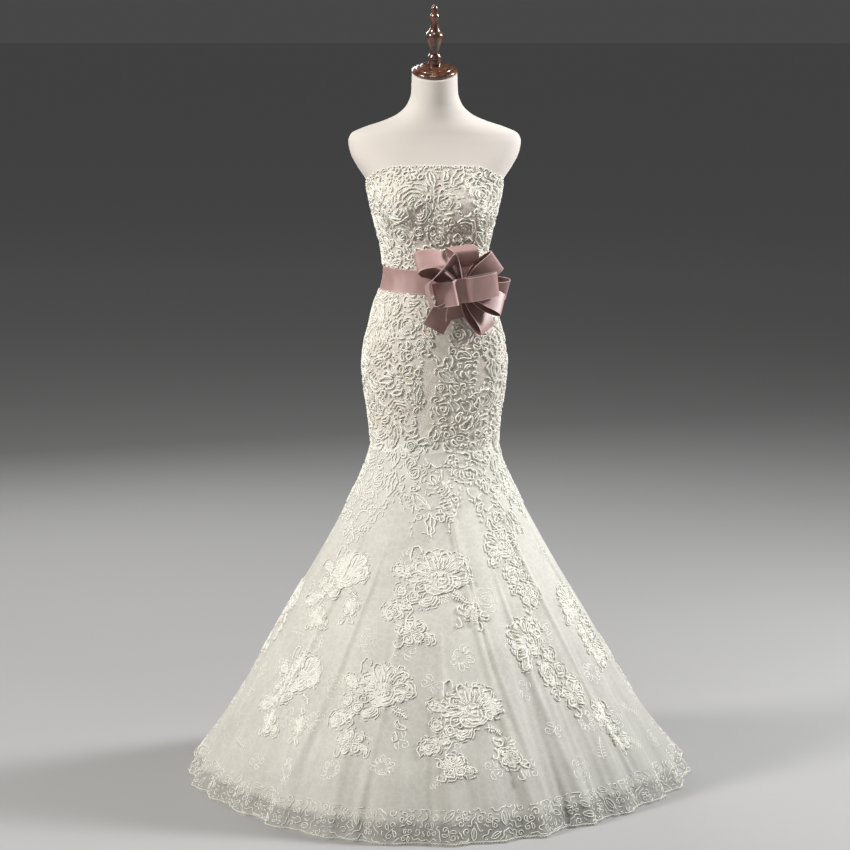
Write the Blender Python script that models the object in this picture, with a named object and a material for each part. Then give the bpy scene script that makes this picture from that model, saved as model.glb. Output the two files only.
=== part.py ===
"""Strapless trumpet-line lace wedding gown on a limbless dress form, with a ribbon sash and bow.

Metres, +Z up. The front of the gown faces -Y and the viewer's right is +X. The origin is on the floor,
at the middle of the stand's underside. Angles round the figure are 0 at the front and grow towards +X.
"""

import math
from collections import namedtuple

import bmesh
import bpy
import numpy as np
from mathutils import Vector

# Driving heights
NECK_TOP = 1.616
SHOULDER_BLEND = 1.430
WAIST_SEAM = 1.165
KNEE_SEAM = 0.785
LINING_HEM = 0.046
STAND_HEIGHT = 0.018

# Cloth and clearances
SEAM_GAP = 0.0003
FORM_CLEARANCE = 0.0004
BODY_WALL = 0.0024
NET_WALL = 0.0016
LINING_WALL = 0.0013
RIBBON_THICK = 0.0011
LACE_RISE = 0.0012

# The radius at which a seam's gap is turned into an angle, for each part of the gown
BODY_SEAM_RADIUS = 0.10
NET_SEAM_RADIUS = 0.14
LINING_SEAM_RADIUS = 0.13

# Grid
BODY_COLUMNS = 44
BODICE_ROWS = 6
HIP_ROWS = 9
FORM_BOTTOM_ROW = 1
NET_COLUMNS = 96
LINING_COLUMNS = 48

# The figure under the cloth: half width, depth in front and behind, where its middle lies, squareness
Section = namedtuple("Section", "z half_width front back middle roundness")
FIGURE = [
    Section(0.785, 0.1395, 0.104, 0.102, 0.000, 2.10),
    Section(0.820, 0.1420, 0.103, 0.103, 0.000, 2.10),
    Section(0.880, 0.1500, 0.102, 0.108, 0.000, 2.15),
    Section(0.920, 0.1560, 0.102, 0.114, 0.000, 2.20),
    Section(0.965, 0.1590, 0.102, 0.118, 0.000, 2.20),
    Section(1.010, 0.1550, 0.100, 0.115, 0.000, 2.20),
    Section(1.060, 0.1425, 0.096, 0.104, 0.000, 2.15),
    Section(1.110, 0.1290, 0.090, 0.089, 0.000, 2.10),
    Section(1.145, 0.1160, 0.085, 0.080, 0.000, 2.10),
    Section(1.175, 0.1110, 0.082, 0.077, 0.000, 2.10),
    Section(1.215, 0.1140, 0.086, 0.078, 0.000, 2.15),
    Section(1.260, 0.1235, 0.095, 0.082, 0.001, 2.25),
    Section(1.300, 0.1340, 0.105, 0.087, 0.002, 2.35),
    Section(1.340, 0.1430, 0.108, 0.091, 0.004, 2.40),
    Section(1.375, 0.1515, 0.103, 0.092, 0.008, 2.40),
    Section(1.410, 0.1735, 0.093, 0.090, 0.013, 2.40),
    Section(1.440, 0.1890, 0.083, 0.085, 0.018, 2.40),
    Section(1.465, 0.1935, 0.075, 0.079, 0.021, 2.35),
    Section(1.482, 0.1870, 0.070, 0.074, 0.022, 2.25),
    Section(1.497, 0.1560, 0.066, 0.069, 0.022, 2.15),
    Section(1.511, 0.1140, 0.062, 0.063, 0.021, 2.05),
    Section(1.527, 0.0810, 0.058, 0.058, 0.018, 2.00),
    Section(1.548, 0.0610, 0.054, 0.054, 0.013, 2.00),
    Section(1.572, 0.0525, 0.0515, 0.0515, 0.007, 2.00),
    Section(1.616, 0.0505, 0.0505, 0.0505, 0.001, 2.00),
]
# Rows of the form above the gown's top edge
SHOULDER_ROWS = [1.430, 1.455, 1.473, 1.486, 1.498, 1.511, 1.527, 1.549, 1.580, 1.616]

# The bodice's top edge, from the centre front (0) past the side seams (0.5) to the centre back (1)
TopEdge = namedtuple("TopEdge", "share z")
TOP_EDGE = [
    TopEdge(0.00, 1.413),
    TopEdge(0.15, 1.411),
    TopEdge(0.23, 1.402),
    TopEdge(0.35, 1.383),
    TopEdge(0.45, 1.367),
    TopEdge(0.55, 1.358),
    TopEdge(1.00, 1.335),
]

# The two cups of the bust, one on each side of the front
BUST_HEIGHT = 1.322
BUST_ANGLE = math.radians(34)
BUST_SPREAD = math.radians(19)
BUST_RISE = 0.019
BUST_ABOVE = 0.050
BUST_BELOW = 0.036

# The neck's top plane leans forward, and the wooden cap and finial with it
NECK_TILT = math.radians(18)
NECK_TILT_START = 1.535

# How far the skirt has flared, from nothing at the knee seam to the whole width at the hem
Flare = namedtuple("Flare", "z share")
FLARE = [
    Flare(0.000, 1.000),
    Flare(0.050, 0.950),
    Flare(0.120, 0.862),
    Flare(0.200, 0.744),
    Flare(0.300, 0.612),
    Flare(0.400, 0.482),
    Flare(0.500, 0.342),
    Flare(0.600, 0.206),
    Flare(0.680, 0.104),
    Flare(0.740, 0.036),
    Flare(0.785, 0.000),
]
NET_LEVELS = [0.785, 0.740, 0.680, 0.600, 0.480, 0.340, 0.180, 0.000]
LINING_LEVELS = [0.785, 0.740, 0.680, 0.600, 0.480, 0.340, 0.180, LINING_HEM]

# The hem seen from above: the cone's radius, and how much further the train sweeps out over the floor
Hem = namedtuple("Hem", "degrees radius sweep")
HEM = [
    Hem(-180, 0.610, 0.105),
    Hem(-150, 0.600, 0.090),
    Hem(-122, 0.575, 0.055),
    Hem(-98, 0.545, 0.012),
    Hem(-84, 0.532, 0.004),
    Hem(-68, 0.510, 0.000),
    Hem(-52, 0.506, 0.000),
    Hem(-36, 0.526, 0.000),
    Hem(-15, 0.542, 0.000),
    Hem(5, 0.541, 0.000),
    Hem(20, 0.522, 0.000),
    Hem(36, 0.500, 0.000),
    Hem(55, 0.502, 0.000),
    Hem(75, 0.526, 0.004),
    Hem(90, 0.548, 0.020),
    Hem(108, 0.566, 0.040),
    Hem(125, 0.585, 0.078),
    Hem(150, 0.603, 0.096),
    Hem(180, 0.610, 0.105),
]
# The height at which the train starts to sweep out
SWEEP_START = 0.20

# The net's folds: how far each stands out at the hem, and the height at which it has died away
Fold = namedtuple("Fold", "column depth reach")
FOLDS = [
    Fold(1, 0.010, 0.36),
    Fold(4, 0.014, 0.50),
    Fold(7, 0.021, 0.72),
    Fold(11, 0.012, 0.38),
    Fold(15, 0.018, 0.56),
    Fold(19, 0.016, 0.46),
    Fold(22, 0.020, 0.60),
    Fold(26, 0.018, 0.50),
    Fold(30, 0.022, 0.60),
    Fold(34, 0.017, 0.46),
    Fold(38, 0.021, 0.58),
    Fold(42, 0.016, 0.44),
    Fold(46, 0.022, 0.60),
    Fold(50, 0.018, 0.50),
    Fold(54, 0.021, 0.58),
    Fold(58, 0.016, 0.46),
    Fold(62, 0.020, 0.58),
    Fold(66, 0.017, 0.48),
    Fold(70, 0.021, 0.60),
    Fold(74, 0.016, 0.44),
    Fold(77, 0.018, 0.58),
    Fold(81, 0.015, 0.48),
    Fold(85, 0.017, 0.56),
    Fold(89, 0.012, 0.44),
    Fold(93, 0.012, 0.50),
]
FOLD_HALF_WIDTH = 1.9
FOLD_FADE = 1.25
LINING_FOLLOWS = 0.55
LINING_GAP_AT_HEM = 0.010

# The big roses worked in the lace of the bodice and hips: place, size
Rose = namedtuple("Rose", "degrees z radius")
ROSES = [
    Rose(-62, 1.345, 0.034),
    Rose(-24, 1.352, 0.032),
    Rose(12, 1.335, 0.030),
    Rose(48, 1.350, 0.034),
    Rose(-40, 1.262, 0.030),
    Rose(4, 1.255, 0.034),
    Rose(44, 1.258, 0.028),
    Rose(-74, 1.232, 0.030),
    Rose(80, 1.240, 0.030),
    Rose(-34, 1.060, 0.034),
    Rose(28, 1.040, 0.030),
    Rose(-68, 1.020, 0.036),
    Rose(70, 1.030, 0.034),
    Rose(0, 0.985, 0.036),
    Rose(44, 0.955, 0.034),
    Rose(-40, 0.940, 0.038),
    Rose(-80, 0.900, 0.034),
    Rose(86, 0.920, 0.034),
    Rose(10, 0.875, 0.038),
    Rose(-24, 0.845, 0.034),
    Rose(52, 0.850, 0.036),
    Rose(120, 1.300, 0.034),
    Rose(146, 1.250, 0.032),
    Rose(-120, 1.300, 0.034),
    Rose(-146, 1.250, 0.032),
    Rose(125, 1.060, 0.034),
    Rose(-125, 1.060, 0.034),
    Rose(155, 0.985, 0.036),
    Rose(-155, 0.985, 0.036),
    Rose(112, 0.930, 0.036),
    Rose(-112, 0.930, 0.036),
    Rose(168, 0.880, 0.036),
    Rose(-168, 0.880, 0.036),
    Rose(135, 0.850, 0.036),
    Rose(-135, 0.850, 0.036),
]
ROSE_PETALS = 5
PETAL_DEPTH = 0.22
LACE_MARGIN = 0.012

# Lace sprays sewn on the flared net: place of the middle, half length, half width, lean
Spray = namedtuple("Spray", "degrees z half_length half_width lean lobes")
SPRAYS = [
    Spray(-4, 0.482, 0.112, 0.064, 34, 7),
    Spray(18, 0.440, 0.034, 0.022, -25, 5),
    Spray(-55, 0.478, 0.088, 0.032, 14, 6),
    Spray(-40, 0.440, 0.036, 0.022, 15, 5),
    Spray(-21, 0.258, 0.106, 0.060, 34, 7),
    Spray(8, 0.220, 0.106, 0.060, 34, 7),
    Spray(22, 0.148, 0.038, 0.024, -25, 5),
    Spray(-57, 0.255, 0.088, 0.034, 12, 6),
    Spray(-45, 0.190, 0.038, 0.024, 15, 5),
    Spray(46, 0.520, 0.092, 0.032, -12, 6),
    Spray(46, 0.315, 0.118, 0.036, -30, 6),
    Spray(76, 0.370, 0.096, 0.034, -6, 6),
    Spray(64, 0.170, 0.062, 0.026, -20, 5),
    Spray(-96, 0.380, 0.096, 0.048, 24, 7),
    Spray(-118, 0.210, 0.100, 0.054, 30, 7),
    Spray(108, 0.250, 0.100, 0.050, -28, 7),
    Spray(136, 0.420, 0.100, 0.054, -28, 7),
    Spray(-146, 0.410, 0.100, 0.054, 28, 7),
    Spray(158, 0.220, 0.104, 0.058, -28, 7),
    Spray(-164, 0.220, 0.104, 0.058, 28, 7),
]
SPRAY_POINTS = 18
SPRAY_THICK = 0.0018
# How deep a spray's lobes are, and how far its outline is from an even oval
SPRAY_LOBE = 0.13
SPRAY_LOBE_START = 0.6
SPRAY_UNEVEN = 0.05
# The height gained by a metre up the flared net
NET_STEEPNESS = 0.86

# Sash and bow
RIBBON_WIDTH = 0.054
SASH_WIDTH = 0.052
SASH_DIP = 0.009
SASH_THICK = 0.0012
BOW_ANGLE = math.radians(30)
BOW_FACING = math.radians(20)
BOW_HEIGHT = 1.146
KNOT_RADIUS = 0.007
KNOT_FROM = 0.0018
KNOT_TO = 0.0525
ROOT_RADIUS = KNOT_RADIUS + 0.0007
ROOT_WIDTH = 0.009
GATHER_LENGTH = 0.060
Loop = namedtuple("Loop", "name degrees length bulge level tilt lift")
LOOPS = [
    Loop("bow_loop_low", -60, 0.114, 0.0125, 0.0185, -14, 12),
    Loop("bow_loop_right", 1, 0.104, 0.0150, 0.0150, 8, 3),
    Loop("bow_loop_top", 85, 0.096, 0.0160, 0.0150, 0, 8),
    Loop("bow_loop_left", 191, 0.090, 0.0115, 0.0185, -2, 8),
    Loop("bow_loop_low_right", -27, 0.096, 0.0125, 0.0370, -10, 8),
    Loop("bow_loop_top_right", 37, 0.106, 0.0150, 0.0330, 0, 8),
    Loop("bow_loop_top_left", 150, 0.118, 0.0150, 0.0335, 22, 4),
]
LOOP_POINTS = 15
# A loop's belly as a share of its bulge, and half the gap between its two layers at the knot
LOOP_BELLY = 0.66
LOOP_ROOT_GAP = 0.0011
Tail = namedtuple("Tail", "name degrees length level lift cut")
TAILS = [
    Tail("bow_tail_left", -125, 0.112, 0.0040, 11, -0.003),
    Tail("bow_tail_middle", -94, 0.070, 0.0080, 11, -0.008),
]
TAIL_POINTS = 7
TAIL_WAVE = 0.0012
TAIL_WAVES = 0.75
FRONT_LOOP_HALF = 0.065
FRONT_LOOP_DEPTH = 0.026
FRONT_LOOP_LEAN = math.radians(9)
FRONT_LOOP_POINTS = 22
# The front loop's section: its ends' share of the depth, how squarely its face turns, and its middle dip
FRONT_END_SHARE = 0.22
FRONT_SQUARENESS = 0.6
FRONT_DIP = 0.30
FRONT_DIP_SPREAD = 0.42
KNOT_SIDES = 12
KNOT_END = 0.002
KNOT_END_SHARE = 0.8

# The dress form's turned parts from the bottom up, each row a radius and a height
CAP_SIDES = 26
FINIAL_SIDES = 12
BASE_SIDES = 32
POLE_SIDES = 16
CAP_PROFILE = [
    (0.0000, 0.0000), (0.0440, 0.0000), (0.0495, 0.0020), (0.0512, 0.0060), (0.0490, 0.0100),
    (0.0440, 0.0118), (0.0410, 0.0125), (0.0400, 0.0155), (0.0350, 0.0165), (0.0315, 0.0170),
    (0.0305, 0.0195), (0.0240, 0.0205), (0.0000, 0.0205),
]
FINIAL_PROFILE = [
    (0.0000, 0.0000), (0.0140, 0.0000), (0.0140, 0.0120), (0.0148, 0.0165), (0.0138, 0.0215),
    (0.0108, 0.0245), (0.0104, 0.0330), (0.0136, 0.0440), (0.0174, 0.0570), (0.0192, 0.0640),
    (0.0188, 0.0720), (0.0146, 0.0760), (0.0098, 0.0850), (0.0072, 0.1020), (0.0102, 0.1080),
    (0.0102, 0.1140), (0.0072, 0.1180), (0.0072, 0.1300), (0.0040, 0.1360), (0.0000, 0.1380),
]
STAND_RADIUS = 0.160
STAND_FOOT_EDGE = 0.003
STAND_TOP_EDGE = 0.005
POLE_RADIUS = 0.016
# The pole's collars, one at each end: radius, straight height and the height of the cone to the tube
COLLAR_RADIUS = 0.0304
COLLAR_HEIGHT = 0.012
COLLAR_CONE = 0.010
ZIP_WIDTH = 0.008
ZIP_THICK = 0.0012
ZIP_BOTTOM = 1.000
ZIP_BELOW_EDGE = 0.001
ZIP_SASH_GAP = 0.004
ZIP_LEAST_STEP = 0.004

Look = namedtuple("Look", "colour roughness metallic")
IVORY_SATIN = Look((0.80, 0.77, 0.69), 0.55, 0.0)
IVORY_NET = Look((0.84, 0.82, 0.75), 0.75, 0.0)
LACE_WHITE = Look((0.88, 0.86, 0.79), 0.65, 0.0)
MAUVE_RIBBON = Look((0.36, 0.22, 0.21), 0.45, 0.0)
FORM_COVER = Look((0.78, 0.74, 0.68), 0.85, 0.0)
DARK_WOOD = Look((0.09, 0.035, 0.018), 0.25, 0.0)
STAND_METAL = Look((0.12, 0.12, 0.12), 0.40, 0.8)

# Faces that meet at less than these angles are shaded as one smooth surface
CLOTH_CREASE = math.radians(50)
SASH_CREASE = math.radians(40)
TURNED_CREASE = math.radians(35)


def smooth_curve(places, values):
    """A monotone cubic through the points, which never overshoots them."""
    x, y = np.array(places, float), np.array(values, float)
    step = np.diff(x)
    slope = np.diff(y) / step
    tangent = np.concatenate([slope[:1], np.zeros(len(x) - 2), slope[-1:]])
    for i in range(1, len(x) - 1):
        if slope[i - 1] * slope[i] > 0:
            before, after = step[i] * 2 + step[i - 1], step[i] + step[i - 1] * 2
            tangent[i] = (before + after) / (before / slope[i - 1] + after / slope[i])

    def at(place):
        place = min(max(place, x[0]), x[-1])
        i = min(int(np.searchsorted(x, place, side="right")) - 1, len(step) - 1)
        t = (place - x[i]) / step[i]
        return float(
            y[i] * (1 + 2 * t) * (1 - t) ** 2
            + tangent[i] * step[i] * t * (1 - t) ** 2
            + y[i + 1] * t * t * (3 - 2 * t)
            - tangent[i + 1] * step[i] * t * t * (1 - t)
        )

    return at


def column_of(rows, name):
    """One column of a table of sections, as a smooth curve over the height."""
    return smooth_curve([row.z for row in rows], [getattr(row, name) for row in rows])


HALF_WIDTH = column_of(FIGURE, "half_width")
FRONT = column_of(FIGURE, "front")
BACK = column_of(FIGURE, "back")
MIDDLE = column_of(FIGURE, "middle")
ROUNDNESS = column_of(FIGURE, "roundness")
FLARE_SHARE = column_of(FLARE, "share")
TOP_EDGE_CURVE = smooth_curve([row.share for row in TOP_EDGE], [row.z for row in TOP_EDGE])


def round_the_hem(name):
    """One column of the hem's table. The hem goes once round, so a row is added past each end."""
    before, after = HEM[-2], HEM[1]
    rows = [before._replace(degrees=before.degrees - 360), *HEM, after._replace(degrees=after.degrees + 360)]
    return smooth_curve([row.degrees for row in rows], [getattr(row, name) for row in rows])


HEM_RADIUS = round_the_hem("radius")
HEM_SWEEP = round_the_hem("sweep")


def wrapped(angle):
    """The same angle, from -pi to pi."""
    return (angle + math.pi) % (2 * math.pi) - math.pi


def gauss(x, spread):
    """A soft hump of height 1 at x = 0."""
    return math.exp(-((x / spread) ** 2))


def figure_radius(angle, z):
    """How far the bare form's surface is from its axis, in this direction and at this height."""
    depth = FRONT(z) if math.cos(angle) > 0 else BACK(z)
    power = ROUNDNESS(z)
    inverse = (abs(math.sin(angle)) / HALF_WIDTH(z)) ** power + (abs(math.cos(angle)) / depth) ** power
    spread = BUST_ABOVE if z > BUST_HEIGHT else BUST_BELOW
    cup = gauss(abs(wrapped(angle)) - BUST_ANGLE, BUST_SPREAD) * gauss(z - BUST_HEIGHT, spread)
    return inverse ** (-1 / power) + BUST_RISE * cup


def place(angle, radius, z):
    """The point at this radius from the figure's axis."""
    return Vector((radius * math.sin(angle), MIDDLE(z) - radius * math.cos(angle), z))


def top_edge(angle):
    """The height of the bodice's top edge: level across the front, lower under the arms and behind."""
    return TOP_EDGE_CURVE((1 - math.cos(angle)) / 2)


def bodice_row(row, angle):
    return WAIST_SEAM + (top_edge(angle) - WAIST_SEAM) * row / BODICE_ROWS


def hip_row(row):
    return KNEE_SEAM + (WAIST_SEAM - KNEE_SEAM) * row / HIP_ROWS


def lace_rise(angle, z):
    """How far the worked roses stand out of the cloth: petals round a raised heart."""
    rise = 0.0
    edge = min(top_edge(angle) - z, abs(z - WAIST_SEAM) - SASH_WIDTH / 2, z - KNEE_SEAM)
    if edge < LACE_MARGIN:
        return 0.0
    around = figure_radius(angle, z)
    for rose in ROSES:
        across = wrapped(angle - math.radians(rose.degrees)) * around
        up = z - rose.z
        turn = math.atan2(up, across)
        reach = rose.radius * (1 + PETAL_DEPTH * math.cos(ROSE_PETALS * turn))
        share = math.hypot(across, up) / reach
        if share < 1:
            rise = max(rise, LACE_RISE * math.sqrt(math.cos(math.pi * share / 2)))
    return rise


def fold_rise(column, z):
    """How far the net stands out in its folds. Columns may be fractions."""
    rise = 0.0
    for fold in FOLDS:
        if z >= fold.reach:
            continue
        off = abs((column - fold.column + NET_COLUMNS / 2) % NET_COLUMNS - NET_COLUMNS / 2)
        if off < FOLD_HALF_WIDTH:
            wave = math.cos(math.pi * off / FOLD_HALF_WIDTH / 2) ** 2
            rise += fold.depth * wave * (1 - z / fold.reach) ** FOLD_FADE
    return rise


def skirt_base(angle, z):
    """The flared skirt's radius before its folds."""
    knee = figure_radius(angle, KNEE_SEAM) + FORM_CLEARANCE + BODY_WALL
    degrees = math.degrees(wrapped(angle))
    sweep = HEM_SWEEP(degrees) * max(0.0, 1 - z / SWEEP_START) ** 2
    return knee + (HEM_RADIUS(degrees) - knee) * FLARE_SHARE(z) + sweep


def net_radius(column, z):
    angle = 2 * math.pi * column / NET_COLUMNS
    return skirt_base(angle, z) + fold_rise(column, z)


def lining_radius(angle, z):
    """The lining's outer face, clear of the net's inner face everywhere."""
    column = angle / (2 * math.pi) * NET_COLUMNS
    followed = LINING_FOLLOWS * fold_rise(column, z)
    gap = NET_WALL + FORM_CLEARANCE + LINING_GAP_AT_HEM * FLARE_SHARE(z)
    return skirt_base(angle, z) + followed - gap


def finish_material(name, look):
    """The named material, made the first time it is asked for."""
    material = bpy.data.materials.get(name)
    if material is None:
        material = bpy.data.materials.new(name)
        material.use_nodes = True
        shader = material.node_tree.nodes["Principled BSDF"]
        shader.inputs["Base Color"].default_value = (*look.colour, 1.0)
        shader.inputs["Roughness"].default_value = look.roughness
        shader.inputs["Metallic"].default_value = look.metallic
        material.diffuse_color = (*look.colour, 1.0)
    return material


def add_object(name, mesh, material, crease=None):
    """An object in the scene, smooth but where its faces meet at more than the crease's angle."""
    mesh.materials.append(material)
    if crease is not None:
        mesh.shade_smooth()
        mesh.set_sharp_from_angle(angle=crease)
    obj = bpy.data.objects.new(name, mesh)
    bpy.context.scene.collection.objects.link(obj)
    return obj


def mesh_of(name, points, faces):
    mesh = bpy.data.meshes.new(name)
    mesh.from_pydata(points, [], faces)
    mesh.validate()
    return mesh


def grid_triangles(first, rows, columns, flip):
    """The triangles of a grid of points, every square cut along the same diagonal."""
    faces = []
    for j in range(rows):
        for i in range(columns):
            low_left = first + j * (columns + 1) + i
            low_right, high_left = low_left + 1, low_left + columns + 1
            high_right = high_left + 1
            for face in ((low_left, low_right, high_right), (low_left, high_right, high_left)):
                faces.append(face[::-1] if flip else face)
    return faces


def wall_panel(name, outer, inner, rows, columns, material):
    """A closed panel of cloth from two grids of points, each a list of rows from the bottom up."""
    width = columns + 1
    points = [p for row in outer for p in row] + [p for row in inner for p in row]
    start = (rows + 1) * width
    faces = grid_triangles(0, rows, columns, False) + grid_triangles(start, rows, columns, True)
    rim = list(range(width))
    rim += [j * width + columns for j in range(1, rows + 1)]
    rim += [rows * width + i for i in range(columns - 1, -1, -1)]
    rim += [j * width for j in range(rows - 1, 0, -1)]
    for here, there in zip(rim, rim[1:] + rim[:1]):
        faces.append((here, here + start, there + start))
        faces.append((here, there + start, there))
    return add_object(name, mesh_of(name, points, faces), material, CLOTH_CREASE)


def panel_angles(first, last, columns, radius):
    """The panel's angles: those of the grid, with the end ones drawn in by half a seam gap."""
    turn = 2 * math.pi / columns
    angles = [i * turn for i in range(first, last + 1)]
    trim = SEAM_GAP / 2 / radius
    angles[0] += trim
    angles[-1] -= trim
    return angles


# A quarter of the way round is a side seam, and half way is the centre back
Panel = namedtuple("Panel", "name first last")
TIER_PANELS = [Panel("front", -0.25, 0.25), Panel("back_left", 0.25, 0.5), Panel("back_right", 0.5, 0.75)]


def make_bodice(material):
    for panel in TIER_PANELS:
        first, last = (round(share * BODY_COLUMNS) for share in panel[1:])
        angles = panel_angles(first, last, BODY_COLUMNS, BODY_SEAM_RADIUS)
        outer, inner = [], []
        for row in range(BODICE_ROWS + 1):
            heights = [bodice_row(row, a) + (SEAM_GAP / 2 if row == 0 else 0) for a in angles]
            near = [figure_radius(a, z) + FORM_CLEARANCE for a, z in zip(angles, heights)]
            inner.append([place(a, r, z) for a, r, z in zip(angles, near, heights)])
            outer.append(
                [place(a, r + BODY_WALL + lace_rise(a, z), z) for a, r, z in zip(angles, near, heights)]
            )
        wall_panel(f"bodice_{panel.name}", outer, inner, BODICE_ROWS, len(angles) - 1, material)


def make_hips(material):
    for panel in TIER_PANELS:
        first, last = (round(share * BODY_COLUMNS) for share in panel[1:])
        angles = panel_angles(first, last, BODY_COLUMNS, BODY_SEAM_RADIUS)
        outer, inner = [], []
        for row in range(HIP_ROWS + 1):
            z = hip_row(row)
            if row == HIP_ROWS:
                z -= SEAM_GAP / 2
            near = [figure_radius(a, z) + FORM_CLEARANCE for a in angles]
            inner.append([place(a, r, z) for a, r in zip(angles, near)])
            outer.append([place(a, r + BODY_WALL + lace_rise(a, z), z) for a, r in zip(angles, near)])
        wall_panel(f"hip_{panel.name}", outer, inner, HIP_ROWS, len(angles) - 1, material)


def net_point(column, level, depth=0.0):
    """A point of the net at a grid column and a grid level, moved inwards by depth."""
    z = NET_LEVELS[level] - (SEAM_GAP if level == 0 else 0)
    angle = 2 * math.pi * column / NET_COLUMNS
    return place(angle, net_radius(column, z) - depth, z)


def make_net(material):
    rows = len(NET_LEVELS) - 1
    for panel in TIER_PANELS:
        first, last = (round(share * NET_COLUMNS) for share in panel[1:])
        columns = [float(i) for i in range(first, last + 1)]
        trim = SEAM_GAP / 2 / NET_SEAM_RADIUS / (2 * math.pi) * NET_COLUMNS
        columns[0] += trim
        columns[-1] -= trim
        levels = range(rows, -1, -1)
        outer = [[net_point(c, level) for c in columns] for level in levels]
        inner = [[net_point(c, level, NET_WALL) for c in columns] for level in levels]
        wall_panel(f"net_{panel.name}", outer, inner, rows, len(columns) - 1, material)


def make_lining(material):
    rows = len(LINING_LEVELS) - 1
    for name, first, last in (("front", -0.25, 0.25), ("back", 0.25, 0.75)):
        ends = round(first * LINING_COLUMNS), round(last * LINING_COLUMNS)
        angles = panel_angles(*ends, LINING_COLUMNS, LINING_SEAM_RADIUS)
        outer, inner = [], []
        for z in reversed(LINING_LEVELS):
            z -= SEAM_GAP if z == KNEE_SEAM else 0
            far = [lining_radius(a, z) for a in angles]
            outer.append([place(a, r, z) for a, r in zip(angles, far)])
            inner.append([place(a, r - LINING_WALL, z) for a, r in zip(angles, far)])
        wall_panel(f"lining_{name}", outer, inner, rows, len(angles) - 1, material)


def spray_outline(spray):
    """The spray's lobed outline, in metres across and up the cloth."""
    outline = []
    lean = math.radians(spray.lean)
    for k in range(SPRAY_POINTS):
        turn = 2 * math.pi * k / SPRAY_POINTS
        lobe = 1 + SPRAY_LOBE * math.cos(spray.lobes * turn + SPRAY_LOBE_START)
        lobe += SPRAY_UNEVEN * math.cos(2 * turn + 1)
        across, along = spray.half_width * lobe * math.sin(turn), spray.half_length * lobe * math.cos(turn)
        outline.append(
            (
                across * math.cos(lean) + along * math.sin(lean),
                along * math.cos(lean) - across * math.sin(lean),
            )
        )
    return outline


def level_at(z):
    """The net's grid level at a height, as a fraction."""
    for level in range(len(NET_LEVELS) - 1):
        high, low = NET_LEVELS[level], NET_LEVELS[level + 1]
        if z >= low:
            return level + (high - z) / (high - low)
    return float(len(NET_LEVELS) - 1)


def on_net_facets(column, level, out):
    """A point on the net's flat triangles at a fractional grid place, moved out of them."""
    i, j = math.floor(column + 1e-6), math.floor(level + 1e-6)
    j = min(j, len(NET_LEVELS) - 2)
    across, down = column - i, level - j
    low_left, high_right = (i, j + 1), (i + 1, j)
    if across + down > 1:
        corner, share_left, share_right = (i + 1, j + 1), 1 - across, 1 - down
    else:
        corner, share_left, share_right = (i, j), down, across
    weights = ((low_left, share_left), (high_right, share_right), (corner, 1 - share_left - share_right))
    return sum((net_point(c, l, -out) * w for (c, l), w in weights), Vector())


def make_spray(number, spray, material):
    """A flat lace spray cut along the net's grid, so that it lies parallel to each of its triangles."""
    centre = math.radians(spray.degrees)
    flat = bmesh.new()
    corners = []
    for across, up in spray_outline(spray):
        z = spray.z + up * NET_STEEPNESS
        angle = centre + across / skirt_base(centre, z)
        corners.append(flat.verts.new((angle / (2 * math.pi) * NET_COLUMNS, level_at(z), 0)))
    flat.faces.new(corners)
    columns = [v.co.x for v in flat.verts]
    levels = [v.co.y for v in flat.verts]
    cuts = [((c, 0, 0), (1, 0, 0)) for c in range(math.ceil(min(columns)), math.ceil(max(columns)))]
    cuts += [((0, l, 0), (0, 1, 0)) for l in range(math.ceil(min(levels)), math.ceil(max(levels)))]
    sums = [c + l for c, l in zip(columns, levels)]
    cuts += [((s, 0, 0), (1, 1, 0)) for s in range(math.ceil(min(sums)), math.ceil(max(sums)))]
    for where, direction in cuts:
        parts = flat.verts[:] + flat.edges[:] + flat.faces[:]
        bmesh.ops.bisect_plane(flat, geom=parts, dist=1e-5, plane_co=where, plane_no=direction)
    bmesh.ops.triangulate(flat, faces=flat.faces[:])
    bmesh.ops.recalc_face_normals(flat, faces=flat.faces[:])
    flat.verts.ensure_lookup_table()
    count = len(flat.verts)
    grid = [(v.co.x, v.co.y) for v in flat.verts]
    under = [on_net_facets(c, l, SEAM_GAP) for c, l in grid]
    over = [on_net_facets(c, l, SEAM_GAP + SPRAY_THICK) for c, l in grid]
    faces = []
    for face in flat.faces:
        ring = [v.index for v in face.verts]
        faces.append([k + count for k in ring])
        faces.append(ring[::-1])
    for edge in flat.edges:
        if len(edge.link_faces) == 1:
            loop = edge.link_loops[0]
            here, there = loop.vert.index, loop.link_loop_next.vert.index
            faces.append([here, there, there + count])
            faces.append([here, there + count, here + count])
    flat.free()
    mesh = mesh_of("spray", under + over, faces)
    outward(mesh)
    add_object(f"lace_spray_{number:02d}", mesh, material)


def outward(mesh):
    """Turns a closed mesh's faces to point out."""
    shape = bmesh.new()
    shape.from_mesh(mesh)
    bmesh.ops.recalc_face_normals(shape, faces=shape.faces[:])
    shape.to_mesh(mesh)
    shape.free()


def cloth_radius(angle, z):
    """The outer face of the gown's body at the waist, where the lace is flat."""
    return figure_radius(angle, z) + FORM_CLEARANCE + BODY_WALL


def cloth_reach(angle, z, rows):
    """The cloth's radius here, or its straight facet's between two rows where that stands further out."""
    reach = cloth_radius(angle, z)
    for low, high in zip(rows, rows[1:]):
        if low <= z <= high:
            share = (z - low) / (high - low)
            chord = cloth_radius(angle, low) * (1 - share) + cloth_radius(angle, high) * share
            reach = max(reach, chord)
    return reach


def sash_dip(angle):
    """How far the sash hangs below level here: most at the front."""
    return -SASH_DIP * ((1 + math.cos(angle)) / 2) ** 2


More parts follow.
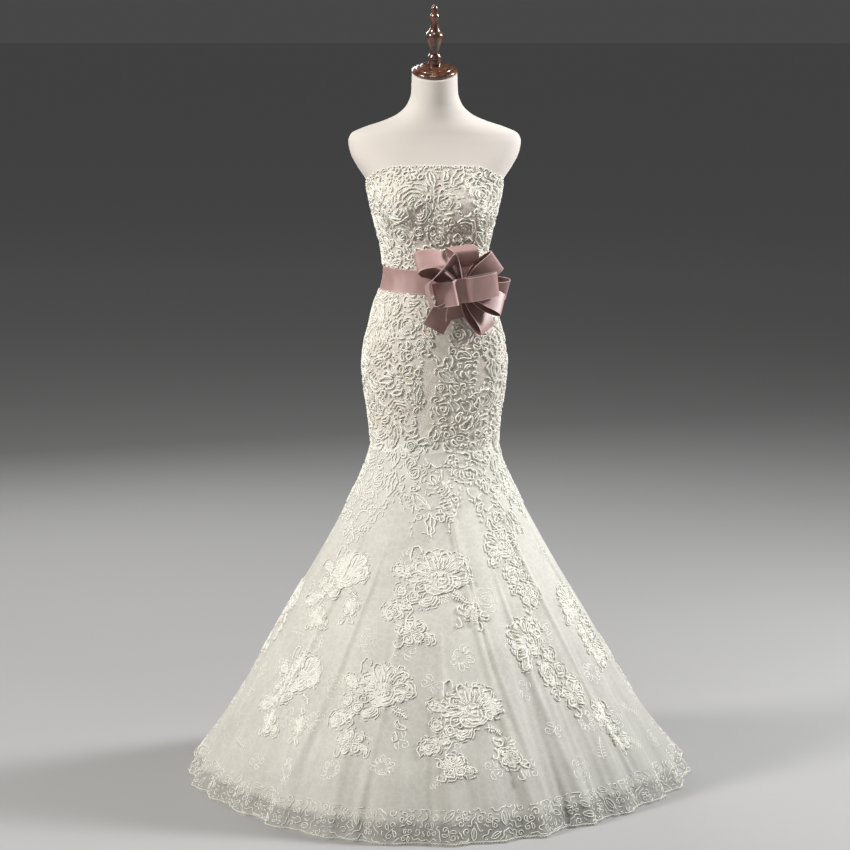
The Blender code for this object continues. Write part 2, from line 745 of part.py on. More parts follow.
def make_sash(material):
    """The ribbon round the waist, one closed ring just clear of the cloth under it."""
    heights = [WAIST_SEAM - SASH_WIDTH / 2, WAIST_SEAM, WAIST_SEAM + SASH_WIDTH / 2]
    hip_rows = [hip_row(row) for row in range(HIP_ROWS + 1)]
    points = []
    for height in heights:
        for i in range(BODY_COLUMNS):
            angle = 2 * math.pi * i / BODY_COLUMNS
            z = height + sash_dip(angle)
            rows = hip_rows + [bodice_row(row, angle) for row in range(1, BODICE_ROWS + 1)]
            reach = cloth_reach(angle, z, rows) + FORM_CLEARANCE
            points.append(place(angle, reach, z))
            points.append(place(angle, reach + SASH_THICK, z))
    faces = []
    ring = BODY_COLUMNS * 2
    for i in range(BODY_COLUMNS):
        j = (i + 1) % BODY_COLUMNS
        inner, next_inner, outer, next_outer = 2 * i, 2 * j, 2 * i + 1, 2 * j + 1
        for level in (0, ring):
            for here, there in ((outer, next_outer), (next_inner, inner)):
                faces.append([k + level for k in (here, there, there + ring, here + ring)])
        faces.append([inner, next_inner, next_outer, outer])
        faces.append([k + 2 * ring for k in (next_inner, inner, outer, next_outer)])
    add_object("sash", mesh_of("sash", points, faces), material, SASH_CREASE)


def bow_frame():
    """The bow's middle on the sash, and its directions across, up and out."""
    radius = cloth_radius(BOW_ANGLE, BOW_HEIGHT) + FORM_CLEARANCE + SASH_THICK
    out = Vector((math.sin(BOW_FACING), -math.cos(BOW_FACING), 0))
    across = Vector((math.cos(BOW_FACING), math.sin(BOW_FACING), 0))
    return place(BOW_ANGLE, radius, BOW_HEIGHT), across, Vector((0, 0, 1)), out


def ribbon_corners(centre, side, normal, width):
    """The four corners of the ribbon's section."""
    half, rise = side * (width / 2), normal * (RIBBON_THICK / 2)
    return [centre - half - rise, centre + half - rise, centre + half + rise, centre - half + rise]


def section_sides(here, there):
    """The four faces between two sections of a ribbon, given each one's number."""
    near, far = 4 * here, 4 * there
    return [(near + a, near + b, far + b, far + a) for a, b in ((0, 1), (1, 2), (2, 3), (3, 0))]


def ribbon_solid(name, centres, side, widths, material, cut=0.0):
    """A strip of ribbon that follows its middle line, as one closed solid. Its last end may be cut aslant."""
    points = []
    last = len(centres) - 1
    for k, (centre, width) in enumerate(zip(centres, widths)):
        along = (centres[min(k + 1, last)] - centres[max(k - 1, 0)]).normalized()
        normal = along.cross(side).normalized()
        points += ribbon_corners(centre, side, normal, width)
    for number, across in enumerate((-1, 1, 1, -1)):
        points[4 * last + number] += along * cut * across
    faces = [(3, 2, 1, 0), tuple(4 * last + k for k in range(4))]
    for k in range(last):
        faces += section_sides(k, k + 1)
    add_ribbon(name, points, faces, material)


def add_ribbon(name, points, faces, material):
    mesh = mesh_of(name, points, faces)
    outward(mesh)
    add_object(name, mesh, material, TURNED_CREASE)


def loop_directions(degrees, lift, tilt):
    """Along, sideways and out, for a ribbon that leaves the knot at this angle."""
    _, across, up, out = bow_frame()
    turn, rise, roll = math.radians(degrees), math.radians(lift), math.radians(tilt)
    flat = across * math.cos(turn) + up * math.sin(turn)
    side = up * math.cos(turn) - across * math.sin(turn)
    along = flat * math.cos(rise) + out * math.sin(rise)
    normal = out * math.cos(rise) - flat * math.sin(rise)
    rolled_side = side * math.cos(roll) + normal * math.sin(roll)
    rolled_normal = normal * math.cos(roll) - side * math.sin(roll)
    return along, rolled_side, rolled_normal


def ribbon_width_at(distance):
    """The ribbon is gathered where it is bound at the knot, and full width further out."""
    share = min(1.0, max(0.0, (distance - ROOT_RADIUS) / GATHER_LENGTH))
    return ROOT_WIDTH + (RIBBON_WIDTH - ROOT_WIDTH) * math.sin(share * math.pi / 2)


def make_loop(loop, material):
    """A loop that leaves the knot, turns back at its far end and comes home under itself."""
    origin, _, _, out = bow_frame()
    along, side, normal = loop_directions(loop.degrees, loop.lift, loop.tilt)
    root = origin + out * loop.level
    centres, widths = [], []
    for k in range(LOOP_POINTS):
        turn = 2 * math.pi * k / (LOOP_POINTS - 1)
        reach = ROOT_RADIUS + (loop.length - ROOT_RADIUS) * (1 - math.cos(turn)) / 2
        height = LOOP_BELLY * loop.bulge * math.sin(turn) * math.sin(turn / 2)
        height += LOOP_ROOT_GAP * math.cos(turn / 2)
        centres.append(root + along * reach + normal * height)
        widths.append(ribbon_width_at(reach))
    ribbon_solid(loop.name, centres, side, widths, material)


def make_tail(tail, material):
    """A loose end of ribbon with a slight wave, cut aslant."""
    origin, _, _, out = bow_frame()
    along, side, normal = loop_directions(tail.degrees, tail.lift, 0)
    centres, widths = [], []
    for k in range(TAIL_POINTS):
        share = k / (TAIL_POINTS - 1)
        reach = ROOT_RADIUS + (tail.length - ROOT_RADIUS) * share
        wave = TAIL_WAVE * math.sin(2 * math.pi * TAIL_WAVES * share)
        centres.append(origin + out * tail.level + along * reach + normal * wave)
        widths.append(ribbon_width_at(reach))
    ribbon_solid(tail.name, centres, side, widths, material, tail.cut)


def make_front_loop(material):
    """The loop across the front: one closed band whose face dips where it is caught in the middle."""
    origin, across, up, out = bow_frame()
    along = across * math.cos(FRONT_LOOP_LEAN) + up * math.sin(FRONT_LOOP_LEAN)
    side = up * math.cos(FRONT_LOOP_LEAN) - across * math.sin(FRONT_LOOP_LEAN)
    back = KNOT_TO + SEAM_GAP + RIBBON_THICK
    middle = []
    for k in range(FRONT_LOOP_POINTS):
        turn = 2 * math.pi * k / FRONT_LOOP_POINTS
        reach = FRONT_LOOP_HALF * math.sin(turn)
        if math.cos(turn) < 0:
            share = FRONT_END_SHARE * (1 - math.sqrt(-math.cos(turn)))
        else:
            dip = FRONT_DIP * gauss(reach, FRONT_LOOP_HALF * FRONT_DIP_SPREAD)
            face = math.cos(turn) ** FRONT_SQUARENESS * (1 - dip)
            share = FRONT_END_SHARE + (1 - FRONT_END_SHARE) * face
        middle.append((reach, back + FRONT_LOOP_DEPTH * share))
    points, faces = [], []
    for k, (reach, depth) in enumerate(middle):
        after = (k + 1) % FRONT_LOOP_POINTS
        run, rise = middle[after][0] - middle[k - 1][0], middle[after][1] - middle[k - 1][1]
        normal = (along * -rise + out * run) / math.hypot(run, rise)
        points += ribbon_corners(origin + along * reach + out * depth, side, normal, RIBBON_WIDTH)
        faces += section_sides(k, after)
    add_ribbon("bow_loop_front", points, faces, material)


def make_knot(material):
    """The bound middle of the bow, which carries every loop and stands on the sash."""
    origin, across, up, out = bow_frame()
    end_radius = KNOT_RADIUS * KNOT_END_SHARE
    rings = [
        (KNOT_FROM, end_radius), (KNOT_FROM + KNOT_END, KNOT_RADIUS),
        (KNOT_TO - KNOT_END, KNOT_RADIUS), (KNOT_TO, end_radius),
    ]
    points, faces = [], []
    for ring, (depth, radius) in enumerate(rings):
        low = ring * KNOT_SIDES
        for k in range(KNOT_SIDES):
            turn = 2 * math.pi * k / KNOT_SIDES
            points.append(origin + out * depth + (across * math.cos(turn) + up * math.sin(turn)) * radius)
        if ring in (0, len(rings) - 1):
            faces.append(tuple(range(low, low + KNOT_SIDES)))
        if ring > 0:
            for k in range(KNOT_SIDES):
                after = (k + 1) % KNOT_SIDES
                faces.append((low - KNOT_SIDES + k, low - KNOT_SIDES + after, low + after, low + k))
    add_ribbon("bow_knot", points, faces, material)


def form_point(angle, z):
    """A point of the bare form. Near its top the neck's rows lean forward with the cap."""
    point = place(angle, figure_radius(angle, z), z)
    if z > NECK_TILT_START:
        share = (z - NECK_TILT_START) / (NECK_TOP - NECK_TILT_START)
        point.z += (point.y - MIDDLE(z)) * math.tan(NECK_TILT) * share
    return point


def make_form(material):
    """The form's body, from its flat underside to the slanted top of its neck."""
    angles = [2 * math.pi * i / BODY_COLUMNS for i in range(BODY_COLUMNS)]
    rows = [[form_point(a, hip_row(row)) for a in angles] for row in range(FORM_BOTTOM_ROW, HIP_ROWS + 1)]
    rows += [[form_point(a, bodice_row(row, a)) for a in angles] for row in range(1, BODICE_ROWS + 1)]
    rows.append([form_point(a, (top_edge(a) + SHOULDER_BLEND) / 2) for a in angles])
    rows += [[form_point(a, z) for a in angles] for z in SHOULDER_ROWS]
    points = [p for row in rows for p in row]
    top = (len(rows) - 1) * BODY_COLUMNS
    faces = [tuple(reversed(range(BODY_COLUMNS))), tuple(range(top, top + BODY_COLUMNS))]
    for j in range(len(rows) - 1):
        for i in range(BODY_COLUMNS):
            after = (i + 1) % BODY_COLUMNS
            low, high = j * BODY_COLUMNS, (j + 1) * BODY_COLUMNS
            faces.append((low + i, low + after, high + after))
            faces.append((low + i, high + after, high + i))
    add_object("form_body", mesh_of("form_body", points, faces), material, CLOTH_CREASE)


def turned(name, profile, sides, material):
    """A turned piece round its own Z axis, from a profile of radius and height, bottom to top."""
    points, rings = [], []
    for radius, height in profile:
        if radius == 0:
            rings.append([len(points)])
            points.append((0, 0, height))
            continue
        rings.append(list(range(len(points), len(points) + sides)))
        for k in range(sides):
            turn = 2 * math.pi * k / sides
            points.append((radius * math.cos(turn), radius * math.sin(turn), height))
    faces = []
    for low, high in zip(rings, rings[1:]):
        for k in range(sides):
            after = (k + 1) % sides
            if len(low) == 1:
                faces.append((low[0], high[after], high[k]))
            elif len(high) == 1:
                faces.append((low[k], low[after], high[0]))
            else:
                faces.append((low[k], low[after], high[after], high[k]))
    return add_object(name, mesh_of(name, points, faces), material, TURNED_CREASE)


def make_cap_and_finial(material):
    """The turned wooden cap on the neck and the finial on it, both square to the slanted neck."""
    middle = Vector((0, MIDDLE(NECK_TOP), NECK_TOP))
    lean = (NECK_TILT, 0, 0)
    out = Vector((0, -math.sin(NECK_TILT), math.cos(NECK_TILT)))
    cap = turned("neck_cap", CAP_PROFILE, CAP_SIDES, material)
    cap.location = middle + out * SEAM_GAP
    cap.rotation_euler = lean
    cap_height = CAP_PROFILE[-1][1]
    finial = turned("finial", FINIAL_PROFILE, FINIAL_SIDES, material)
    finial.location = middle + out * (cap_height + 2 * SEAM_GAP)
    finial.rotation_euler = lean


def make_stand(wood, metal):
    """The round base on the floor, and the pole from it to the form's underside."""
    base_profile = [
        (0, 0), (STAND_RADIUS - STAND_FOOT_EDGE, 0), (STAND_RADIUS, STAND_FOOT_EDGE),
        (STAND_RADIUS, STAND_HEIGHT - STAND_TOP_EDGE), (STAND_RADIUS - STAND_TOP_EDGE, STAND_HEIGHT),
        (0, STAND_HEIGHT),
    ]
    turned("stand_base", base_profile, BASE_SIDES, wood)
    bottom = STAND_HEIGHT + SEAM_GAP
    top = hip_row(FORM_BOTTOM_ROW) - SEAM_GAP
    pole_profile = [
        (0, bottom), (COLLAR_RADIUS, bottom), (COLLAR_RADIUS, bottom + COLLAR_HEIGHT),
        (POLE_RADIUS, bottom + COLLAR_HEIGHT + COLLAR_CONE), (POLE_RADIUS, top - COLLAR_HEIGHT - COLLAR_CONE),
        (COLLAR_RADIUS, top - COLLAR_HEIGHT), (COLLAR_RADIUS, top), (0, top),
    ]
    turned("stand_pole", pole_profile, POLE_SIDES, metal)


def make_zip(material):
    """The closed centre-back zip's tape over the seam, above the sash and below it."""
    off_sash = SASH_WIDTH / 2 + ZIP_SASH_GAP
    bodice_rows = [bodice_row(row, math.pi) for row in range(BODICE_ROWS + 1)]
    hip_rows = [hip_row(row) for row in range(HIP_ROWS + 1)]
    spans = [
        ("zip_upper", bodice_rows, WAIST_SEAM + off_sash, top_edge(math.pi) - ZIP_BELOW_EDGE),
        ("zip_lower", hip_rows, ZIP_BOTTOM, WAIST_SEAM - off_sash),
    ]
    for name, rows, low, high in spans:
        heights = [low] + [z for z in rows if low + ZIP_LEAST_STEP < z < high - ZIP_LEAST_STEP] + [high]
        points = []
        for z in heights:
            near = MIDDLE(z) + cloth_reach(math.pi, z, rows) + SEAM_GAP
            far = near + ZIP_THICK
            points += [(x, y, z) for x, y in ((-1, near), (1, near), (1, far), (-1, far))]
        points = [(x * ZIP_WIDTH / 2, y, z) for x, y, z in points]
        last = len(heights) - 1
        faces = [(3, 2, 1, 0), tuple(4 * last + k for k in range(4))]
        for k in range(last):
            faces += section_sides(k, k + 1)
        mesh = mesh_of(name, points, faces)
        outward(mesh)
        add_object(name, mesh, material)


def main():
    for obj in list(bpy.data.objects):
        bpy.data.objects.remove(obj)
    satin = finish_material("ivory_satin", IVORY_SATIN)
    lace = finish_material("lace", LACE_WHITE)
    ribbon = finish_material("mauve_ribbon", MAUVE_RIBBON)
    wood = finish_material("dark_wood", DARK_WOOD)
    make_form(finish_material("form_cover", FORM_COVER))
    make_cap_and_finial(wood)
    make_stand(wood, finish_material("stand_metal", STAND_METAL))
    make_bodice(lace)
    make_hips(lace)
    make_net(finish_material("ivory_net", IVORY_NET))
    make_lining(satin)
    for number, spray in enumerate(SPRAYS, 1):
        make_spray(number, spray, lace)
    make_sash(ribbon)
    make_knot(ribbon)
    for loop in LOOPS:
        make_loop(loop, ribbon)
    for tail in TAILS:
        make_tail(tail, ribbon)
    make_front_loop(ribbon)
    make_zip(satin)


main()
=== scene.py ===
"""The looks of a strapless lace trumpet gown on a dress form: cloth, corded lace, ribbon bow and turned wood.

Metres, +Z up, the front towards -Y. Angles round the figure are 0 at the front and grow towards +X, which is
the viewer's right. Every piece is made where it belongs, so its object stays at the origin.
"""

import math
import random
from collections import namedtuple

import bmesh
import bpy
import numpy as np
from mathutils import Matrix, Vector


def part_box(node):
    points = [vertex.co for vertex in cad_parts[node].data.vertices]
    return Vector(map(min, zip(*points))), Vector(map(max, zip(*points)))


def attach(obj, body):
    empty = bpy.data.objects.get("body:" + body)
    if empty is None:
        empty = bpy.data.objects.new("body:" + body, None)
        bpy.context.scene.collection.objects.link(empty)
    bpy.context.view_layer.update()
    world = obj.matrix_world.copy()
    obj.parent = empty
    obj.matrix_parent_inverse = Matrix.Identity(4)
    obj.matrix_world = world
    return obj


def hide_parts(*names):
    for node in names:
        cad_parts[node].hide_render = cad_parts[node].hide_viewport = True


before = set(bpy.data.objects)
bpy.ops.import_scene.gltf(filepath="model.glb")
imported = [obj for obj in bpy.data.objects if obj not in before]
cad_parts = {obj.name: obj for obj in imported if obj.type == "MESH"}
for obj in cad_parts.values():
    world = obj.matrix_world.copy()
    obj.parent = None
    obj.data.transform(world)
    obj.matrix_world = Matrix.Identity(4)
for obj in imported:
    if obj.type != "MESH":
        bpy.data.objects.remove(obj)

bl_info = {
    "name": "Lace gown on a dress form",
    "version": (1, 0, 0),
    "blender": (4, 5, 0),
    "location": "3D View > Sidebar > Gown",
    "description": "Builds the cloth, lace, ribbon, form and stand of a strapless lace gown",
    "category": "Object",
}


def rows(kind, values):
    return [kind(*value) for value in values]


# Heights and walls that the gown's solids share
NECK_TOP = 1.616
WAIST_SEAM = 1.165
KNEE_SEAM = 0.785
LINING_HEM = 0.046
TOP_MOST = 1.420
FORM_LOW = 0.8272
FORM_CLEARANCE = 0.0004
BODY_WALL = 0.0024
NET_WALL = 0.0016
SEAM_GAP = 0.0003
STAND_HEIGHT = 0.018

# The figure under the cloth: half width, depth in front and behind, where its middle lies, squareness
Section = namedtuple("Section", "z half_width front back middle roundness")
FIGURE = rows(Section, (
    (0.785, 0.1395, 0.104, 0.102, 0.000, 2.10), (0.820, 0.1420, 0.103, 0.103, 0.000, 2.10),
    (0.880, 0.1500, 0.102, 0.108, 0.000, 2.15), (0.920, 0.1560, 0.102, 0.114, 0.000, 2.20),
    (0.965, 0.1590, 0.102, 0.118, 0.000, 2.20), (1.010, 0.1550, 0.100, 0.115, 0.000, 2.20),
    (1.060, 0.1425, 0.096, 0.104, 0.000, 2.15), (1.110, 0.1290, 0.090, 0.089, 0.000, 2.10),
    (1.145, 0.1160, 0.085, 0.080, 0.000, 2.10), (1.175, 0.1110, 0.082, 0.077, 0.000, 2.10),
    (1.215, 0.1140, 0.086, 0.078, 0.000, 2.15), (1.260, 0.1235, 0.095, 0.082, 0.001, 2.25),
    (1.300, 0.1340, 0.105, 0.087, 0.002, 2.35), (1.340, 0.1430, 0.108, 0.091, 0.004, 2.40),
    (1.375, 0.1515, 0.103, 0.092, 0.008, 2.40), (1.410, 0.1735, 0.093, 0.090, 0.013, 2.40),
    (1.440, 0.1890, 0.083, 0.085, 0.018, 2.40), (1.465, 0.1935, 0.075, 0.079, 0.021, 2.35),
    (1.482, 0.1870, 0.070, 0.074, 0.022, 2.25), (1.497, 0.1560, 0.066, 0.069, 0.022, 2.15),
    (1.511, 0.1140, 0.062, 0.063, 0.021, 2.05), (1.527, 0.0810, 0.058, 0.058, 0.018, 2.00),
    (1.548, 0.0610, 0.054, 0.054, 0.013, 2.00), (1.572, 0.0525, 0.0515, 0.0515, 0.007, 2.00),
    (1.616, 0.0505, 0.0505, 0.0505, 0.001, 2.00),
))
TopEdge = namedtuple("TopEdge", "share z")
TOP_EDGE = rows(TopEdge, (
    (0.00, 1.413), (0.15, 1.411), (0.23, 1.402), (0.35, 1.383), (0.45, 1.367), (0.55, 1.358), (1.00, 1.335),
))
BUST_HEIGHT = 1.322
BUST_ANGLE = math.radians(34)
BUST_SPREAD = math.radians(19)
BUST_RISE = 0.019
BUST_ABOVE = 0.050
BUST_BELOW = 0.036
NECK_TILT = math.radians(18)
NECK_TILT_START = 1.535

# How far the skirt has flared, from nothing at the knee seam to the whole width at the hem
Flare = namedtuple("Flare", "z share")
FLARE = rows(Flare, (
    (0.000, 1.000), (0.050, 0.950), (0.120, 0.862), (0.200, 0.744), (0.300, 0.612), (0.400, 0.482),
    (0.500, 0.342), (0.600, 0.206), (0.680, 0.104), (0.740, 0.036), (0.785, 0.000),
))
# The hem seen from above: its radius, and how much further the train sweeps out over the floor
Hem = namedtuple("Hem", "degrees radius sweep")
HEM = rows(Hem, (
    (-180, 0.610, 0.105), (-150, 0.600, 0.090), (-122, 0.575, 0.055), (-98, 0.545, 0.012),
    (-84, 0.532, 0.004), (-68, 0.510, 0.000), (-52, 0.506, 0.000), (-36, 0.526, 0.000), (-15, 0.542, 0.000),
    (5, 0.541, 0.000), (20, 0.522, 0.000), (36, 0.500, 0.000), (55, 0.502, 0.000), (75, 0.526, 0.004),
    (90, 0.548, 0.020), (108, 0.566, 0.040), (125, 0.585, 0.078), (150, 0.603, 0.096), (180, 0.610, 0.105),
))
SWEEP_START = 0.20

# The net's folds: the column of 96 each lies on, how far it stands out at the hem, how high it reaches
Fold = namedtuple("Fold", "column depth reach")
FOLD_COLUMNS = 96
FOLDS = rows(Fold, (
    (1, 0.010, 0.36), (4, 0.014, 0.50), (7, 0.021, 0.72), (11, 0.012, 0.38), (15, 0.018, 0.56),
    (19, 0.016, 0.46), (22, 0.020, 0.60), (26, 0.018, 0.50), (30, 0.022, 0.60), (34, 0.017, 0.46),
    (38, 0.021, 0.58), (42, 0.016, 0.44), (46, 0.022, 0.60), (50, 0.018, 0.50), (54, 0.021, 0.58),
    (58, 0.016, 0.46), (62, 0.020, 0.58), (66, 0.017, 0.48), (70, 0.021, 0.60), (74, 0.016, 0.44),
    (77, 0.018, 0.58), (81, 0.015, 0.48), (85, 0.017, 0.56), (89, 0.012, 0.44), (93, 0.012, 0.50),
))
PLEAT_DEPTH = 0.0042
PLEAT_REACH = 0.46
FOLD_HALF_WIDTH = 1.9
FOLD_FADE = 1.25
LINING_FOLLOWS = 0.55
LINING_GAP_AT_HEM = 0.010

# Fine creases in the net: where each starts and ends, how far it stands out, how wide it is at the hem
Crease = namedtuple("Crease", "top_degrees top_z hem_degrees depth half_width")
CREASES = rows(Crease, (
    (11, 0.74, 26, 0.0067, 0.013), (15, 0.66, 31, 0.0045, 0.009), (-13, 0.52, -19, 0.0042, 0.012),
    (-30, 0.60, -43, 0.0051, 0.013), (33, 0.56, 42, 0.0057, 0.012), (-48, 0.66, -62, 0.0054, 0.011),
    (52, 0.70, 66, 0.0060, 0.012), (-70, 0.60, -84, 0.0060, 0.013), (78, 0.62, 88, 0.0060, 0.013),
    (2, 0.44, 4, 0.0039, 0.012), (110, 0.66, 116, 0.0063, 0.014), (-108, 0.66, -114, 0.0063, 0.014),
    (138, 0.62, 142, 0.0060, 0.014), (-136, 0.60, -141, 0.0060, 0.014), (164, 0.66, 166, 0.0063, 0.015),
    (-162, 0.64, -165, 0.0063, 0.015),
))


def smooth_curve(places, values):
    """A monotone cubic through the points, which never overshoots them. It takes single values or arrays."""
    x, y = np.array(places, float), np.array(values, float)
    step = np.diff(x)
    slope = np.diff(y) / step
    tangent = np.concatenate([slope[:1], np.zeros(len(x) - 2), slope[-1:]])
    for i in range(1, len(x) - 1):
        if slope[i - 1] * slope[i] > 0:
            before, after = step[i] * 2 + step[i - 1], step[i] + step[i - 1] * 2
            tangent[i] = (before + after) / (before / slope[i - 1] + after / slope[i])

    def at(place):
        place = np.clip(place, x[0], x[-1])
        i = np.minimum(np.searchsorted(x, place, side="right") - 1, len(step) - 1)
        t = (place - x[i]) / step[i]
        value = y[i] * (1 + 2 * t) * (1 - t) ** 2 + tangent[i] * step[i] * t * (1 - t) ** 2
        return value + y[i + 1] * t * t * (3 - 2 * t) - tangent[i + 1] * step[i] * t * t * (1 - t)

    return at


def column_of(rows, name):
    return smooth_curve([row.z for row in rows], [getattr(row, name) for row in rows])


HALF_WIDTH = column_of(FIGURE, "half_width")
FRONT = column_of(FIGURE, "front")
BACK = column_of(FIGURE, "back")
MIDDLE = column_of(FIGURE, "middle")
ROUNDNESS = column_of(FIGURE, "roundness")
FLARE_SHARE = column_of(FLARE, "share")
TOP_EDGE_CURVE = smooth_curve([row.share for row in TOP_EDGE], [row.z for row in TOP_EDGE])


def round_the_hem(name):
    """One column of the hem's table. The hem goes once round, so a row is added past each end."""
    before = HEM[-2]._replace(degrees=HEM[-2].degrees - 360)
    after = HEM[1]._replace(degrees=HEM[1].degrees + 360)
    ring = [before, *HEM, after]
    return smooth_curve([row.degrees for row in ring], [getattr(row, name) for row in ring])


HEM_RADIUS = round_the_hem("radius")
HEM_SWEEP = round_the_hem("sweep")


def wrapped(angle):
    return (angle + math.pi) % (2 * math.pi) - math.pi


def figure_radius(angle, z):
    """How far the bare form's surface is from its axis, in this direction and at this height."""
    depth = np.where(np.cos(angle) > 0, FRONT(z), BACK(z))
    power = ROUNDNESS(z)
    inverse = (np.abs(np.sin(angle)) / HALF_WIDTH(z)) ** power + (np.abs(np.cos(angle)) / depth) ** power
    spread = np.where(z > BUST_HEIGHT, BUST_ABOVE, BUST_BELOW)
    off = np.abs(wrapped(angle)) - BUST_ANGLE
    cup = np.exp(-((off / BUST_SPREAD) ** 2) - ((z - BUST_HEIGHT) / spread) ** 2)
    return inverse ** (-1 / power) + BUST_RISE * cup


def fold_rise(angle, z):
    """How far the net stands out in its main folds."""
    column = angle / (2 * math.pi) * FOLD_COLUMNS
    rise = np.zeros(np.broadcast(angle, z).shape)
    for fold in FOLDS:
        off = np.abs((column - fold.column + FOLD_COLUMNS / 2) % FOLD_COLUMNS - FOLD_COLUMNS / 2)
        wave = np.cos(np.minimum(off / FOLD_HALF_WIDTH, 1) * math.pi / 2) ** 2
        rise = rise + fold.depth * wave * np.maximum(0, 1 - z / fold.reach) ** FOLD_FADE
    return rise


def crease_rise(angle, z, around):
    """How far the net stands out in its fine creases, which run slantwise down the flare."""
    rise = np.zeros(np.broadcast(angle, z).shape)
    for crease in CREASES:
        share = np.clip(1 - z / crease.top_z, 0, 1)
        run = math.radians(crease.top_degrees) + math.radians(crease.hem_degrees - crease.top_degrees) * share
        off = wrapped(angle - run) * around / (crease.half_width * (0.35 + 0.65 * share))
        rise = rise + crease.depth * np.exp(-off * off) * np.minimum(1, share * 5)
    return rise


def skirt_base(angle, z):
    """The flared skirt's radius before its folds."""
    knee = figure_radius(angle, np.full(np.shape(angle), KNEE_SEAM)) + FORM_CLEARANCE + BODY_WALL
    degrees = np.degrees(wrapped(angle))
    sweep = HEM_SWEEP(degrees) * np.maximum(0, 1 - z / SWEEP_START) ** 2
    return knee + (HEM_RADIUS(degrees) - knee) * FLARE_SHARE(z) + sweep


def pleat_rise(angle, z):
    """How far the net stands out in the fine pleats that open towards its hem."""
    depth = PLEAT_DEPTH * np.maximum(0, 1 - z / PLEAT_REACH) ** 1.3
    broad = 0.6 * np.sin(angle * 71 + 1.3 * np.sin(angle * 9))
    fine = 0.4 * np.sin(angle * 113 + 1.1 * np.sin(angle * 7) + z * 3)
    return depth * (1 + (broad + fine)) / 2


def gown_radius(angle, z):
    """The gown's outer face, body and net."""
    body = figure_radius(angle, np.maximum(z, KNEE_SEAM)) + FORM_CLEARANCE + BODY_WALL
    base = skirt_base(angle, z)
    net = base + fold_rise(angle, z) + crease_rise(angle, z, base) + pleat_rise(angle, z)
    return np.where(z >= KNEE_SEAM, body, net)


def lining_radius(angle, z):
    gap = NET_WALL + FORM_CLEARANCE + LINING_GAP_AT_HEM * FLARE_SHARE(z)
    return skirt_base(angle, z) + LINING_FOLLOWS * fold_rise(angle, z) - gap


def place(angle, radius, z):
    """The points at this radius from the figure's axis."""
    shape = np.broadcast(angle, radius, z).shape
    x = radius * np.sin(angle)
    y = MIDDLE(z) - radius * np.cos(angle)
    return np.stack([np.broadcast_to(part, shape) for part in (x, y, z)], axis=-1).astype(float)


def top_edge(angle):
    return TOP_EDGE_CURVE((1 - np.cos(angle)) / 2)


class Skin:
    """The gown's outer face on a fine grid, for placing lace on it."""

    COLUMNS = 1440
    ROWS = 711

    def __init__(self):
        self.turn = 2 * math.pi / self.COLUMNS
        self.rise = TOP_MOST / (self.ROWS - 1)
        angles = np.arange(self.COLUMNS) * self.turn - math.pi
        heights = np.arange(self.ROWS) * self.rise
        angle, z = np.meshgrid(angles, heights)
        self.radius = gown_radius(angle, z)
        self.around = (np.roll(self.radius, -1, 1) - np.roll(self.radius, 1, 1)) / (2 * self.turn)
        self.up = np.gradient(self.radius, self.rise, axis=0)

    def read(self, grid, angle, z):
        """The grid's value at these places, read between its points."""
        column = (wrapped(angle) + math.pi) / self.turn
        row = np.clip(z / self.rise, 0, self.ROWS - 1.001)
        i, j = np.floor(column).astype(int), np.floor(row).astype(int)
        across, above = column - i, row - j
        i, after = i % self.COLUMNS, (i + 1) % self.COLUMNS
        low = grid[j, i] * (1 - across) + grid[j, after] * across
        high = grid[j + 1, i] * (1 - across) + grid[j + 1, after] * across
        return low * (1 - above) + high * above

    def frame_at(self, angle, z):
        """The points of the cloth at these places, and its outward normals there."""
        radius = self.read(self.radius, angle, z)
        around, up = self.read(self.around, angle, z), self.read(self.up, angle, z)
        sine, cosine = np.sin(angle), np.cos(angle)
        x, y = around * sine + radius * cosine, radius * sine - around * cosine
        right = np.stack([x, y, 0 * radius], axis=-1)
        over = np.stack([up * sine, -up * cosine, 1 + 0 * radius], axis=-1)
        normal = np.cross(right, over)
        normal /= np.linalg.norm(normal, axis=-1, keepdims=True)
        return place(angle, radius, z), normal


SKIN = Skin()


# Meshes from grids of points. Edges that are sharper than these are drawn sharp
CLOTH_CREASE = math.radians(60)
PETAL_CREASE = math.radians(50)
TURNED_CREASE = math.radians(38)


def new_piece(name, points, faces, coordinates=None):
    """An object from points and faces, with its flat cloth coordinates as a UV map where they are given."""
    mesh = bpy.data.meshes.new(name)
    mesh.from_pydata(np.asarray(points).tolist(), [], faces)
    mesh.shade_smooth()
    if coordinates is not None:
        layer = mesh.uv_layers.new(name="Cloth")
        corner = np.zeros(len(mesh.loops), int)
        mesh.loops.foreach_get("vertex_index", corner)
        layer.data.foreach_set("uv", np.asarray(coordinates, float)[corner].ravel())
    piece = bpy.data.objects.new(name, mesh)
    bpy.context.scene.collection.objects.link(piece)
    return piece


def grid_quads(first, rows, columns, closed, inward):
    index = first + np.arange(rows * columns).reshape(rows, columns)
    right = np.roll(index, -1, 1)
    if not closed:
        index, right = index[:, :-1], right[:, :-1]
    quads = np.stack([index[:-1], right[:-1], right[1:], index[1:]], axis=-1).reshape(-1, 4)
    return quads[:, ::-1] if inward else quads


def capped_rings(levels, sides):
    """The faces of rings one over the other, closed by a fan to the first and second of two more points."""
    faces = grid_quads(0, levels, sides, True, False).tolist()
    last, count = (levels - 1) * sides, levels * sides
    for k in range(sides):
        after = (k + 1) % sides
        faces += [[after, k, count], [last + k, last + after, count + 1]]
    return faces


